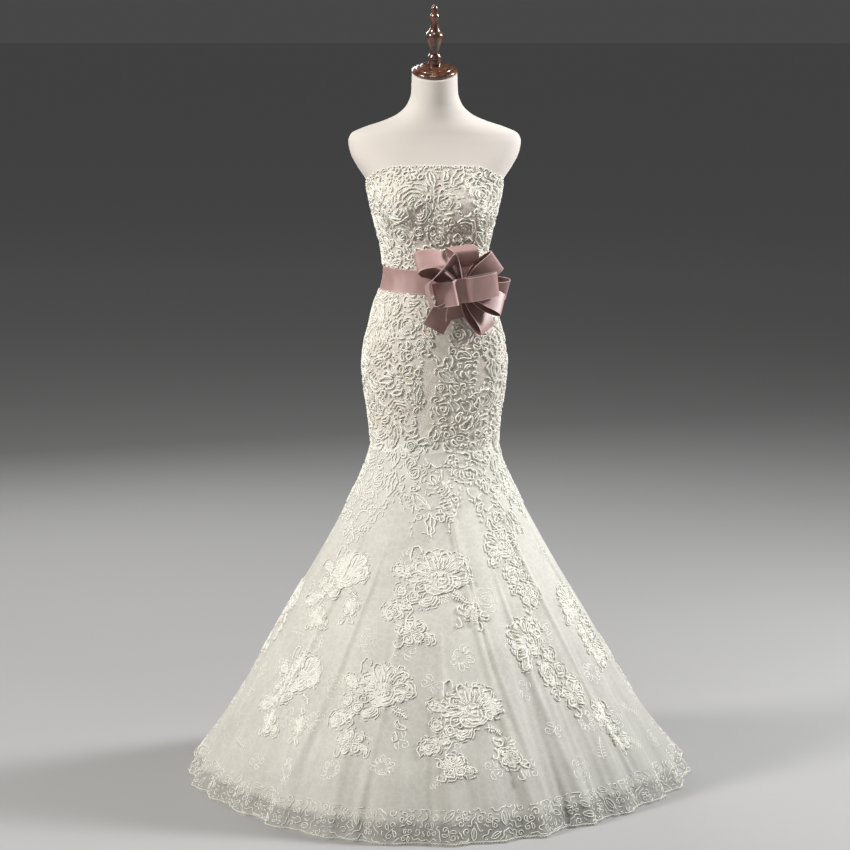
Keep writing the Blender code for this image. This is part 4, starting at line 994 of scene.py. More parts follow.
def cords_piece(name, cords, step, height):
    """All these cords as one mesh: rounded strips, closed at both ends, lying on the cloth."""
    angles, heights, widths, starts = [], [], [], [0]
    for line_angles, line_heights, width in cords:
        a, z = evenly(line_angles, line_heights, step)
        angles.append(a)
        heights.append(z)
        taper = np.ones(len(a))
        taper[0] = taper[-1] = CORD_TIP
        widths.append(width * taper)
        starts.append(starts[-1] + len(a))
    angle, z, width = np.concatenate(angles), np.concatenate(heights), np.concatenate(widths)[:, None]
    z = np.clip(z, LOWEST_CORD, TOP_MOST)
    point, normal = SKIN.frame_at(angle, z)
    ahead, behind = np.roll(point, -1, 0), np.roll(point, 1, 0)
    first, last = np.array(starts[:-1]), np.array(starts[1:]) - 1
    ahead[last] = point[last]
    behind[first] = point[first]
    along = ahead - behind
    along /= np.maximum(np.linalg.norm(along, axis=-1, keepdims=True), 1e-9)
    side = np.cross(normal, along)
    corners = np.stack([point + side * width * across + normal * width * up * height
                        for across, up in CORD_SECTION], axis=1)
    keep = np.ones(len(point), bool)
    keep[last] = False
    near = np.nonzero(keep)[0] * 4
    faces = [np.stack([near + b, near + a, near + 4 + a, near + 4 + b], axis=-1)
             for a, b in ((0, 1), (1, 2), (2, 3), (3, 0))]
    faces.append(np.stack([first * 4 + k for k in range(4)], axis=-1))
    faces.append(np.stack([last * 4 + 3 - k for k in range(4)], axis=-1))
    return new_piece(name, corners.reshape(-1, 3), np.concatenate(faces).tolist())


def plates_piece(name, plates, thick):
    """Thin raised petals and leaves as one mesh, each closed, with sharp rims and a middle point."""
    points, faces, start = [], [], 0
    for angles, heights in plates:
        heights = np.clip(heights, LOWEST_PETAL, TOP_MOST)
        count = len(angles)
        middle = np.array([angles.mean()]), np.array([heights.mean()])
        half = (angles + middle[0]) / 2, (heights + middle[1]) / 2
        rings = [SKIN.frame_at(a, z) for a, z in ((angles, heights), half, middle)]
        points += [p + n * thick for p, n in rings] + [p - n * PETAL_SINK for p, n in rings]
        here = np.arange(count)
        after = (here + 1) % count
        low = start + 2 * count + 1
        for base, inward in ((start, False), (low, True)):
            quads = np.stack([base + here, base + after, base + count + after, base + count + here], axis=-1)
            fans = np.stack([base + count + here, base + count + after, base + 2 * count + 0 * here], axis=-1)
            for found in (quads, fans):
                faces += (found[:, ::-1] if inward else found).tolist()
        faces += np.stack([start + after, start + here, low + here, low + after], axis=-1).tolist()
        start = low + 2 * count + 1
    piece = new_piece(name, np.concatenate(points), faces)
    piece.data.set_sharp_from_angle(angle=PETAL_CREASE)
    return piece


class Ground:
    """A map of where cord already lies, so that more can be worked into the gaps between."""

    def __init__(self, low, high, cell, around):
        self.low, self.cell = low, cell
        self.rows = int((high - low) / cell) + 1
        self.columns = int(2 * math.pi * around / cell)
        self.turn = 2 * math.pi / self.columns
        self.taken = np.zeros((self.rows, self.columns), bool)
        heights = low + (np.arange(self.rows) + 0.5) * cell
        angles = (np.arange(self.columns) + 0.5) * self.turn
        self.angle, self.z = np.meshgrid(angles, heights)
        plain = plain_radius(self.angle, self.z, BODY_WALL)
        slant = np.gradient(plain, self.turn, axis=1)
        self.metres = np.hypot(plain, slant)

    def cells(self, angles, heights):
        rows = np.floor((heights - self.low) / self.cell).astype(int)
        return rows, (angles % (2 * math.pi) / self.turn).astype(int) % self.columns

    def is_free(self, angles, heights):
        rows, columns = self.cells(angles, heights)
        return rows.min() >= 0 and rows.max() < self.rows and not self.taken[rows, columns].any()

    def mark(self, angles, heights, clearance):
        """Takes everything nearer than the clearance to these places."""
        rows, columns = self.cells(angles, heights)
        deep = int(clearance / self.cell)
        for down in range(-deep, deep + 1):
            row = rows + down
            inside = (row >= 0) & (row < self.rows)
            row, column = row[inside], columns[inside]
            if not len(row):
                continue
            half = math.sqrt(clearance ** 2 - (down * self.cell) ** 2)
            reach = (half / (self.metres[row, column] * self.turn)).astype(int)
            for across in range(-reach.max(), reach.max() + 1):
                near = reach >= abs(across)
                self.taken[row[near], (column[near] + across) % self.columns] = True

    def pick(self, draw, spots):
        row, column = spots[0][draw], spots[1][draw]
        return self.angle[row, column], self.z[row, column], self.metres[row, column], self.taken[row, column]


def dense(line, size):
    """A drawn line at its real size, with points close enough to test the ground under it."""
    line = line * size
    run = np.concatenate([[0], np.cumsum(np.hypot(*np.diff(line, axis=0).T))])
    places = np.linspace(0, run[-1], max(3, int(run[-1] / MARK_STEP)))
    return np.stack([np.interp(places, run, line[:, 0]), np.interp(places, run, line[:, 1])], axis=-1)


# Motifs smaller than this are only tried where their middle is free
SMALL_MOTIF = 0.012
SIZE_SPREAD = (0.88, 1.14)
# How long a squiggling cord's waves may be, and one whole turn of them, rounded
SQUIGGLE = (0.014, 0.028)
TURN = 6.28


def scatter(ground, draw, filling, width, clearance):
    """Works a motif into the free ground wherever all of it fits."""
    cords = []
    motif = MOTIFS[filling.motif]
    spots = np.nonzero(~ground.taken)
    for _ in range(filling.tries):
        angle, z, metres, taken = ground.pick(draw.randrange(len(spots[0])), spots)
        if taken and filling.size < SMALL_MOTIF:
            continue
        size = filling.size * draw.uniform(*SIZE_SPREAD)
        turn = math.radians(draw.uniform(-filling.lean, filling.lean))
        flip = draw.choice((-1, 1))
        laid = []
        for line in motif.cords:
            x, y = dense(line, size).T
            x = x * flip
            laid.append((angle + (x * math.cos(turn) - y * math.sin(turn)) / metres,
                         z + x * math.sin(turn) + y * math.cos(turn)))
        angles = np.concatenate([part[0] for part in laid])
        heights = np.concatenate([part[1] for part in laid])
        if ground.is_free(angles, heights):
            ground.mark(angles, heights, clearance)
            cords += [(a, h, width) for a, h in laid]
    return cords


def wandering_cords(ground, draw, tries, step, curl, longest, shortest, clearance, width):
    """Squiggling cords that wander over the free ground without touching what is there."""
    cords = []
    spots = np.nonzero(~ground.taken)
    lag = int(clearance / step) + 2
    for _ in range(tries):
        angle, z, metres, taken = ground.pick(draw.randrange(len(spots[0])), spots)
        if taken:
            continue
        heading = draw.uniform(0, 2 * math.pi)
        phase, wave_length = draw.uniform(0, TURN), draw.uniform(*SQUIGGLE)
        line = [(angle, z)]
        while len(line) * step < longest:
            heading += curl * math.sin(phase + len(line) * step / wave_length * TURN) * step
            for turn in (0.0, 0.5, -0.5, 1.0, -1.0):
                course = heading + turn
                ahead = (angle + step * math.cos(course) / metres, z + step * math.sin(course))
                if ground.is_free(*np.array(ahead).reshape(2, 1)):
                    break
            else:
                break
            heading += turn
            angle, z = ahead
            line.append(ahead)
            if len(line) > lag:
                ground.mark(*np.array(line[-lag]).reshape(2, 1), clearance * 0.8)
        if len(line) * step < shortest:
            continue
        angles, heights = np.array(line).T
        ground.mark(angles, heights, clearance)
        cords.append((angles, heights, width))
    return cords


# Settings that a user can change
def size_setting(name, description, value):
    return bpy.props.FloatProperty(name=name, description=description, default=value, min=0, unit="LENGTH")


def colour_setting(name, value):
    return bpy.props.FloatVectorProperty(
        name=name, description=f"Colour of: {name.lower()}", default=value, subtype="COLOR", min=0, max=1)


class GownSizes(bpy.types.PropertyGroup):
    cord_width: size_setting("Cord width", "Width of the lace's raised cord", 0.0032)
    cord_room: size_setting("Room between cords", "The least distance between two cords' middles", 0.0048)
    spray_width: size_setting("Spray cord width", "Width of the cord on the sprays", 0.0032)
    hem_width: size_setting("Hem cord width", "Width of the fine cord at the hem", 0.0020)
    net_thick: size_setting("Net thickness", "Thickness of the net's layers", 0.0006)
    seed: bpy.props.IntProperty(name="Seed", description="Order of the scattered motifs", default=7)


class GownColours(bpy.types.PropertyGroup):
    ground: colour_setting("Lace ground", (0.71, 0.665, 0.59))
    ground_shade: colour_setting("Lace ground in shade", (0.57, 0.505, 0.43))
    cord: colour_setting("Lace cord", (0.92, 0.905, 0.83))
    cord_shade: colour_setting("Lace cord in shade", (0.86, 0.84, 0.76))
    petal: colour_setting("Petal filling", (0.82, 0.80, 0.73))
    petal_shade: colour_setting("Petal filling in shade", (0.75, 0.73, 0.655))
    net: colour_setting("Net", (0.80, 0.78, 0.71))
    net_shade: colour_setting("Net in shade", (0.73, 0.71, 0.635))
    satin: colour_setting("Lining", (0.80, 0.78, 0.70))
    satin_shade: colour_setting("Lining in shade", (0.74, 0.715, 0.63))
    ribbon: colour_setting("Ribbon", (0.42, 0.26, 0.24))
    ribbon_shade: colour_setting("Ribbon in shade", (0.34, 0.205, 0.19))
    ribbon_edge_highlight: colour_setting("Ribbon edge, painted highlight", (0.66, 0.48, 0.45))
    cover: colour_setting("Form cover", (0.635, 0.588, 0.537))
    cover_shade: colour_setting("Form cover in shade", (0.60, 0.549, 0.498))
    wood: colour_setting("Wood", (0.030, 0.010, 0.006))
    wood_light: colour_setting("Wood's grain", (0.16, 0.055, 0.022))
    metal: colour_setting("Stand's pole", (0.10, 0.10, 0.105))
    floor: colour_setting("Floor", (0.35, 0.347, 0.343))
    floor_far: colour_setting("Floor far away", (0.80, 0.80, 0.80))


# The panels round the figure, and where each starts and ends in shares of a turn
PANELS = (("front", -0.25, 0.25), ("back_left", 0.25, 0.5), ("back_right", 0.5, 0.75))
LINING_PANELS = (("front", -0.25, 0.25), ("back", 0.25, 0.75))
# The meshes' columns for a whole turn, and their levels
BODY_COLUMNS = 176
BODY_LEVELS = (("bodice", 30), ("hip", 44))
# The hip cloth laps over the net: how far, how much its edge waves, and how it thins and sinks to that edge
LAP = 0.009
LAP_WAVE = 0.002
LAP_STARTS = 0.004
LAP_SINKS = 0.013
LAP_LIFT = 0.0006
LAP_THINNER = 0.0016
CLOTH_THICK = 0.0020
NET_COLUMNS = 720
NET_LEVELS = 62
LINING_COLUMNS = 200
LINING_LEVELS = 45
LINING_THICK = 0.0008
SKIRT_FLAT = (0.5, 1.2)


def panel_of(angle):
    """The panel that a place belongs to: the front half, or one of the two back quarters."""
    share = angle / (2 * math.pi) % 1
    if share >= 0.75 or share < 0.25:
        return "front"
    return "back_left" if share < 0.5 else "back_right"


def panel_angles(first, last, columns, radius):
    angles = np.linspace(first, last, int(round((last - first) * columns)) + 1) * 2 * math.pi
    trim = SEAM_GAP / 2 / radius
    angles[0] += trim
    angles[-1] -= trim
    return angles


TRIMS = {}


def flat_cloth(angle, z, around, along=1.0):
    """Flat cloth coordinates: round the figure at a middling radius, and up it."""
    return np.stack([angle * around, z * along], axis=-1)


def cloth_panel(name, outer, inner, flat, look, slot):
    """One panel as a closed wall, given its finish; the node of the same name is hidden."""
    piece = shell(f"{name}_cloth", outer, inner, coordinates=flat)
    finished(piece, FINISHES[look], slot, name)


def trim(key, piece):
    """Notes a piece under the key of the panel that it is sewn on."""
    TRIMS.setdefault(key, []).append(piece)


def sew_cords(key, name, cords, step, height):
    """Makes these cords into one piece, noted under the key's panel."""
    trim(key, finished(cords_piece(name, cords, step, height), FINISHES["cord"], "lace"))


class GOWN_OT_body_cloth(bpy.types.Operator):
    """Bodice and hip panels: the lace's ground, closely fitted to the form"""

    bl_idname = "gown.body_cloth"
    bl_label = "Body cloth"

    def execute(self, context):
        for side, first, last in PANELS:
            angles = panel_angles(first, last, BODY_COLUMNS, 0.10)
            for tier, levels in BODY_LEVELS:
                if tier == "bodice":
                    bottom, top = WAIST_SEAM + SEAM_GAP / 2, top_edge(angles)[None, :]
                else:
                    bottom = KNEE_SEAM - LAP + LAP_WAVE * np.sin(angles * 7)[None, :]
                    top = WAIST_SEAM - SEAM_GAP / 2
                z = bottom + (top - bottom) * np.linspace(0, 1, levels + 1)[:, None]
                angle = np.broadcast_to(angles, z.shape)
                over_net = np.clip((KNEE_SEAM - z) / LAP_STARTS, 0, 1)
                sunk = np.clip((KNEE_SEAM - z) / LAP_SINKS, 0, 1)
                radius = gown_radius(angle, z) + LAP_LIFT * over_net * (1 - sunk)
                inner = place(angle, radius - CLOTH_THICK + LAP_THINNER * over_net, z)
                cloth_panel(f"{tier}_{side}", place(angle, radius, z), inner, flat_cloth(angle, z, 0.14),
                            "ground", "lace")
        return {"FINISHED"}


class GOWN_OT_body_lace(bpy.types.Operator):
    """Corded lace over the bodice, the hips and the top of the flare"""

    bl_idname = "gown.body_lace"
    bl_label = "Body lace"

    def execute(self, context):
        sizes = context.scene.gown_sizes
        draw = random.Random(sizes.seed)
        ground = Ground(low=0.56, high=TOP_MOST, cell=0.0013, around=0.135)
        block_edges(ground)
        lace = Lace()
        for row in ROSES:
            kind = draw.choice(BODY_BLOOMS if row.z > KNEE_SEAM else FLARE_BLOOMS)
            flower = Lace()
            flower.lay(MOTIFS[kind], math.radians(row.degrees), row.z, row.radius * BLOOM_SHARE,
                       draw.uniform(-BLOOM_LEAN, BLOOM_LEAN), sizes.cord_width)
            for angles, heights, width in flower.cords:
                a, z = evenly(angles, heights, MARK_STEP)
                if ground.is_free(a, z):
                    lace.cords.append((angles, heights, width))
        for angles, heights, _ in lace.cords:
            ground.mark(*evenly(angles, heights, MARK_STEP), sizes.cord_room)
        for filling in FILLINGS:
            lace.cords += scatter(ground, draw, filling, sizes.cord_width, sizes.cord_room)
        lace.cords += wandering_cords(ground, draw, tries=16000, step=0.0024, curl=230.0, longest=0.050,
                                      shortest=0.009, clearance=sizes.cord_room, width=sizes.cord_width * 0.9)
        lace.cords = [(*uneven(a, z, BODY_WAVES), width * draw.uniform(*WIDTH_SPREAD))
                      for a, z, width in lace.cords]
        for angle in np.arange(-math.pi + 0.08, math.pi - 0.08, EDGE_BUMP_TURN):
            turn = np.linspace(-0.5, math.pi + 0.5, 9)
            bump, middle = draw.uniform(*EDGE_BUMPS), angle + draw.uniform(-0.01, 0.01)
            heights = top_edge(np.array([angle])) - EDGE_BUMP_DROP + bump * np.sin(turn)
            lace.cords.append((middle - bump / BODY_RADIUS * np.cos(turn), heights, sizes.cord_width * 0.85))
        sets = {}
        for cord in lace.cords:
            sets.setdefault(panel_key(cord[0], cord[1]), []).append(cord)
        for key in sorted(sets):
            height = FLARE_CORD_HEIGHT if key.startswith("net") else BODY_CORD_HEIGHT
            sew_cords(key, f"{key}_lace_cords", sets[key], BODY_CORD_STEP, height)
        return {"FINISHED"}


# How cords stray from their drawn line, so that no two motifs look alike: waves round the figure and up it,
# with how far they stray, and how the body's blooms and cords are sized
BODY_WAVES = (38, 53, 300.0, 170.0)
SKIRT_WAVES = (120, 170, 290.0, 180.0)
STRAY = 0.0012
BODY_RADIUS = 0.13
EDGE_BUMP_TURN = math.radians(4.5)
BODY_BLOOMS = ("rose", "oval", "bloom", "fan")
FLARE_BLOOMS = ("flower", "rose", "bloom")
BLOOM_SHARE = 0.92
BLOOM_LEAN = 70
WIDTH_SPREAD = (0.8, 1.3)
EDGE_BUMPS = (0.0028, 0.0046)
EDGE_BUMP_DROP = 0.0020
BODY_CORD_STEP = 0.0028
BODY_CORD_HEIGHT = 1.65
FLARE_CORD_HEIGHT = 1.15


def uneven(angles, heights, waves):
    """The same line, a little astray."""
    first, second, third, fourth = waves
    across = np.sin(heights * third + angles * 29) + 0.7 * np.sin(heights * fourth - angles * 41)
    above = np.sin(angles * first + heights * 190) + 0.6 * np.sin(angles * second - heights * 120)
    return angles + STRAY * across / (BODY_RADIUS * first / BODY_WAVES[0]), heights + STRAY * above


def block_edges(ground):
    """Keeps cords off the waist, the zip, the bare places and what lies past the lace's edges."""
    angle, z = ground.angle, ground.z
    under_sash = np.abs(z - WAIST_SEAM - sash_dip(angle)) < SASH_WIDTH / 2 + 0.0015
    blocked = (z > top_edge(angle) - 0.0022) | under_sash
    ragged = 0.006 * np.sin(angle * 31) + 0.004 * np.sin(angle * 57 + 1)
    blocked |= z < LACE_EDGE(np.degrees(wrapped(angle))) + ragged
    blocked |= (np.abs(wrapped(angle - math.pi)) * ground.metres < 0.0065) & (z > 0.99)
    for bare in BARE:
        across = wrapped(angle - math.radians(bare.degrees)) * ground.metres
        blocked |= (across / bare.half_width) ** 2 + ((z - bare.z) / bare.half_height) ** 2 < 1
    clumps = np.sin(angle * 17 + z * 40) + np.sin(angle * 23 - z * 75 + 2) + np.sin(z * 95 + angle * 8)
    ground.taken |= blocked | (clumps > CLUMP_LIMIT(z))


def panel_key(angles, heights):
    middle = float(heights.mean())
    tier = "bodice" if middle > WAIST_SEAM else "hip" if middle > KNEE_SEAM else "net"
    return f"{tier}_{panel_of(float(angles.mean()))}"


class GOWN_OT_skirt(bpy.types.Operator):
    """The flared net skirt and the satin lining under it"""

    bl_idname = "gown.skirt"
    bl_label = "Skirt"

    def execute(self, context):
        thick = context.scene.gown_sizes.net_thick
        top = KNEE_SEAM - SEAM_GAP
        for side, first, last in PANELS:
            angles = panel_angles(first, last, NET_COLUMNS, 0.14)
            levels = top - top * np.linspace(1, 0, NET_LEVELS)
            self.hang(f"net_{side}", angles, levels, gown_radius, thick, "net", "ivory_net",
                      f"hip_{side}_cloth")
        for side, first, last in LINING_PANELS:
            angles = panel_angles(first, last, LINING_COLUMNS, 0.13)
            levels = np.linspace(LINING_HEM, top, LINING_LEVELS)
            self.hang(f"lining_{side}", angles, levels, lining_radius, LINING_THICK, "satin", "ivory_satin",
                      "hip_front_cloth")
        return {"FINISHED"}

    def hang(self, name, angles, levels, radius_at, thick, look, slot, rests_on):
        """One panel from the knee seam down, with its wall inside the radius."""
        angle, z = np.meshgrid(angles, levels)
        radius = radius_at(angle, z)
        outer, inner = place(angle, radius, z), place(angle, radius - thick, z)
        cloth_panel(name, outer, inner, flat_cloth(angle, z, *SKIRT_FLAT), look, slot)


class GOWN_OT_hem_lace(bpy.types.Operator):
    """Fine corded edging along the net's hem, and the faint flowers worked in the net"""

    bl_idname = "gown.hem_lace"
    bl_label = "Hem lace"

    def execute(self, context):
        sizes = context.scene.gown_sizes
        draw = random.Random(sizes.seed + 1)
        ground = Ground(low=0.007, high=0.070, cell=0.0016, around=0.60)
        cords = []
        for filling in HEM_FILLINGS:
            cords += scatter(ground, draw, filling, sizes.hem_width, clearance=0.0056)
        cords += wandering_cords(ground, draw, tries=9000, step=0.003, curl=210.0, longest=0.120,
                                 shortest=0.010, clearance=0.0062, width=sizes.hem_width)
        turn = np.linspace(0, math.pi, 7)
        for k in range(HEM_SCALLOPS):
            angle = 2 * math.pi * (k + 0.5) / HEM_SCALLOPS
            half = math.pi / HEM_SCALLOPS * 0.98
            heights = SCALLOP_FOOT + SCALLOP_HEIGHT * np.sin(turn)
            cords.append((angle - half * np.cos(turn), heights, sizes.hem_width))
        faint = Lace()
        for row, (z, count) in enumerate(FAINT_ROWS):
            for k in range(count):
                angle = 2 * math.pi * (k + 0.5 * (row % 2) + draw.uniform(-0.2, 0.2)) / count
                kind = MOTIFS[draw.choice(FAINT_KINDS)]
                height, size = z + draw.uniform(-FAINT_SPREAD, FAINT_SPREAD), draw.uniform(*FAINT_SIZES)
                faint.lay(kind, angle, height, size, draw.uniform(-180, 180), sizes.hem_width)
        for name, found, height in (("hem_lace", cords, 1.0), ("net_flowers", faint.cords, FAINT_HEIGHT)):
            sets = {side: [] for side, _, _ in PANELS}
            for cord in found:
                sets[panel_of(float(cord[0].mean()))].append(cord)
            for side in sets:
                sew_cords(f"net_{side}", f"{name}_{side}", sets[side], HEM_CORD_STEP, height)
        return {"FINISHED"}


HEM_SCALLOPS = 560
SCALLOP_FOOT = 0.0028
SCALLOP_HEIGHT = 0.0035
HEM_CORD_STEP = 0.0040
HEM_FILLINGS = rows(Filling, (
    ("scroll", 0.018, 180, 500), ("leaf", 0.014, 180, 300), ("curl", 0.009, 180, 700),
))
# Rows of faint flowers up the net: how high, how many go round
FAINT_ROWS = [(0.130, 26), (0.205, 24), (0.290, 22), (0.375, 18), (0.465, 14), (0.560, 11)]
FAINT_KINDS = ("bloom", "rose", "scroll", "fern")
FAINT_SPREAD = 0.02
FAINT_SIZES = (0.022, 0.030)
FAINT_HEIGHT = 0.4


class GOWN_OT_sprays(bpy.types.Operator):
    """Lace sprays sewn on the net: raised petals with cord round them"""

    bl_idname = "gown.sprays"
    bl_label = "Sprays"

    def execute(self, context):
        width = context.scene.gown_sizes.spray_width
        for number, spray in enumerate(SPRAYS, 1):
            parts, own_length, own_lean = SPRAY_KINDS[spray.kind]
            scale = spray.half_length / own_length
            mirrored = spray.lean < 0 and spray.kind == "wide"
            turn = math.radians((own_lean if not mirrored else -own_lean) - spray.lean)
            lace = Lace()
            for part in parts:
                x = -part.x if mirrored else part.x
                dx = (x * math.cos(turn) - part.y * math.sin(turn)) * scale
                dy = (x * math.sin(turn) + part.y * math.cos(turn)) * scale
                lean = (-part.degrees if mirrored else part.degrees) + math.degrees(turn)
                lace.lay(MOTIFS[part.motif], math.radians(spray.degrees), spray.z, part.size * scale, lean,
                         width, mirrored, dx, dy)
            lace.cords += self.filled(lace, spray.z, random.Random(number), width)
            lace.cords = [(*uneven(a, z, SKIRT_WAVES), w) for a, z, w in lace.cords]
            lace.plates = [uneven(a, z, SKIRT_WAVES) for a, z in lace.plates]
            name, key = f"spray_{number:02d}", f"net_{panel_of(math.radians(spray.degrees))}"
            petals = plates_piece(f"{name}_petals", lace.plates, PETAL_THICK)
            trim(key, finished(petals, FINISHES["petal"], "lace", f"lace_{name}"))
            sew_cords(key, f"{name}_cords", lace.cords, SPRAY_CORD_STEP, SPRAY_CORD_HEIGHT)
        return {"FINISHED"}

    def filled(self, lace, z, draw, width):
        """Short cords worked over what the spray's motifs leave bare inside its outline."""
        patch, ground = (Ground(low=z - 0.15, high=z + 0.15, cell=0.0018, around=0.40) for _ in range(2))
        for outline in lace.plates:
            for share in np.arange(0.1, 1.01, 0.15):
                ring = [line.mean() + (line - line.mean()) * share for line in outline]
                patch.mark(*evenly(*ring, 0.003), 0.007)
        ground.taken |= ~patch.taken
        for angles, heights, _ in lace.cords:
            ground.mark(*evenly(angles, heights, MARK_STEP), width * 1.2)
        return wandering_cords(ground, draw, tries=800, step=0.0024, curl=240.0, longest=0.040,
                               shortest=0.008, clearance=width * 1.25, width=width * 0.85)


# Sash and bow
RIBBON_WIDTH = 0.054
SASH_WIDTH = 0.052
SASH_DIP = 0.009
SASH_THICK = 0.0012
SASH_COLUMNS = 220
SASH_LEVELS = 13
RIBBON_THICK = 0.0011
BOW_ANGLE = math.radians(30)
BOW_FACING = math.radians(20)
BOW_HEIGHT = 1.146
KNOT_RADIUS = 0.007
KNOT_FROM = 0.0018
KNOT_TO = 0.0525
ROOT_RADIUS = KNOT_RADIUS + 0.0007
ROOT_WIDTH = 0.009
GATHER_LENGTH = 0.060
LOOP_STEPS = 73
TAIL_STEPS = 30
SHAPED_STEPS = 110
KNOT_RINGS = 9
KNOT_SIDES = 24
Loop = namedtuple("Loop", "name degrees length bulge level tilt lift")
LOOPS = [
    Loop("bow_loop_low", -59, 0.114, 0.0200, 0.0185, -34, 12),
    Loop("bow_loop_right", -3, 0.112, 0.0200, 0.0210, 34, 5),
    Loop("bow_loop_low_right", -24, 0.101, 0.0190, 0.0370, -32, 8),
    Loop("bow_loop_top_right", 38, 0.102, 0.0150, 0.0320, 14, 8),
]
Tail = namedtuple("Tail", "name degrees length level lift cut")
TAILS = [
    Tail("bow_tail_left", -125, 0.112, 0.0040, 11, -0.003),
    Tail("bow_tail_middle", -94, 0.070, 0.0080, 11, -0.008),
]
# Loops with folds of their own: the ribbon's directions across, then places along its middle. All are
# across, up and out from the bow's middle, in millimetres. The last goes once round, in front of the knot.
Shaped = namedtuple("Shaped", "name sides points closed")
FRONT_LEAN = math.radians(9)
FRONT_MIDDLE = (1, -1)
FRONT_TILT = (-0.22, -0.24, -0.05, 0.10, 0.14, 0.05, 0.0, -0.10, -0.22)
FRONT_PATH = [
    (-75, 61), (-73, 65.5), (-66, 69.5), (-56, 75), (-46, 80), (-37, 83.5), (-32, 82), (-29, 76), (-26, 69),
    (-20, 62.5), (-12, 61.5), (-6, 66), (-2, 74), (5, 80.5), (18, 83), (38, 82.5), (58, 79), (69, 74),
    (73, 68), (68, 62.5), (40, 60), (0, 58.5), (-40, 59.5), (-66, 59.5),
]
SHAPED = [
    Shaped("bow_loop_top", [(0.95, 0.12, 0.29)], [
        (0, 8, 31), (-1, 40, 24), (-2, 75, 18.5), (-2, 89.5, 18.5), (-1, 92.5, 22), (1.5, 90, 34),
        (3.5, 86.5, 46), (4.5, 82.5, 50), (6.5, 76, 48.5), (11, 61, 40), (15.5, 46, 31.5), (10, 22, 31),
        (3, 9, 33)], False),
    Shaped("bow_loop_top_left", [(-0.04, -0.70, 0.71)], [
        (-7, 6, 30), (-35, 24, 24), (-70, 40, 20), (-94, 46, 21), (-104, 52, 27), (-107, 58, 34),
        (-101, 64, 41), (-88, 68, 45), (-66, 69, 44), (-44, 62, 41), (-22, 42, 38), (-8, 14, 35)], False),
    Shaped("bow_loop_left", [
        (-0.41, 0.43, 0.80), (-0.41, 0.43, 0.80), (-0.2, 0.15, 0.97), (-0.18, 0.12, 0.97),
        (-0.18, 0.12, 0.97)], [
        (-2, 12, 48), (-10, 44, 56), (-17, 64, 60), (-27, 66, 62), (-50, 46, 62), (-76, 25, 60),
        (-88, 14, 57), (-89, 2, 56), (-83, -18, 55), (-76, -33, 54), (-68, -37, 53), (-36, -24, 51),
        (-6, -9, 50)], False),
    Shaped("bow_loop_front", [(-math.sin(FRONT_LEAN), math.cos(FRONT_LEAN), out) for out in FRONT_TILT], [
        (FRONT_MIDDLE[0] + r * math.cos(FRONT_LEAN), FRONT_MIDDLE[1] + r * math.sin(FRONT_LEAN), out)
        for r, out in FRONT_PATH], True),
]
RIBBON_ACROSS = 11
# The ribbon is widened where it runs aslant to its own middle line, down to this sine
LEAST_SLANT = 0.8


def sash_dip(angle):
    return -SASH_DIP * ((1 + np.cos(angle)) / 2) ** 2


def bow_frame():
    """The bow's middle on the sash, and its directions across, up and out."""
    angle = np.array([BOW_ANGLE])
    z = np.array([BOW_HEIGHT])
    radius = figure_radius(angle, z) + FORM_CLEARANCE * 2 + BODY_WALL + SASH_THICK
    out = np.array([math.sin(BOW_FACING), -math.cos(BOW_FACING), 0.0])
    across = np.array([math.cos(BOW_FACING), math.sin(BOW_FACING), 0.0])
    return place(angle, radius, z)[0], across, np.array([0.0, 0.0, 1.0]), out


def unit(vector):
    return vector / np.linalg.norm(vector, axis=-1, keepdims=True)


def ribbon_strip(name, centres, sides, widths, closed, skew):
    """A ribbon along its middle line as a thin closed wall, and its length. Its cloth map is in metres."""
    ends = np.roll(centres, -1, 0) - np.roll(centres, 1, 0)
    tangent = unit(ends if closed else np.gradient(centres, axis=0))
    sides = np.broadcast_to(sides, centres.shape)
    normal = unit(np.cross(tangent, sides))
    across = np.linspace(-1, 1, RIBBON_ACROSS)
    slant = np.maximum(np.linalg.norm(np.cross(tangent, sides), axis=-1), LEAST_SLANT)
    reach = (widths / slant)[:, None, None] / 2 * across[None, :, None]
    grid = centres[:, None, :] + sides[:, None, :] * reach
    if skew:
        fade = np.linspace(0, 1, len(centres))[:, None, None] ** 6
        grid = grid + tangent[:, None, :] * skew * across[None, :, None] * fade
    half = normal[:, None, :] * RIBBON_THICK / 2
    run = run_along(centres)
    flat = np.stack(np.broadcast_arrays(run[:, None], across[None, :] * RIBBON_WIDTH / 2), axis=-1)
    outer, inner = grid + half, grid - half
    if closed:
        outer, inner, flat = (np.swapaxes(part, 0, 1)[::-1] for part in (outer, inner, flat))
    piece = shell(name, outer, inner, closed, flat)
    recalculated(piece)
    return piece, float(run[-1])


def recalculated(piece):
    """Turns a closed mesh's faces outwards."""
    shape = bmesh.new()
    shape.from_mesh(piece.data)
    bmesh.ops.recalc_face_normals(shape, faces=shape.faces[:])
    shape.to_mesh(piece.data)
    shape.free()


def loop_directions(degrees, lift, tilt):
    """Along, sideways and out, for a ribbon that leaves the knot at this angle."""
    _, across, up, out = bow_frame()
    turn, rise, roll = math.radians(degrees), math.radians(lift), math.radians(tilt)
    flat = across * math.cos(turn) + up * math.sin(turn)
    side = up * math.cos(turn) - across * math.sin(turn)
    along = flat * math.cos(rise) + out * math.sin(rise)
    normal = out * math.cos(rise) - flat * math.sin(rise)
    rolled = side * math.cos(roll) + normal * math.sin(roll)
    return along, rolled, normal * math.cos(roll) - side * math.sin(roll)


def ribbon_width_at(distance):
    share = np.clip((distance - ROOT_RADIUS) / GATHER_LENGTH, 0, 1)
    return ROOT_WIDTH + (RIBBON_WIDTH - ROOT_WIDTH) * np.sin(share * math.pi / 2)


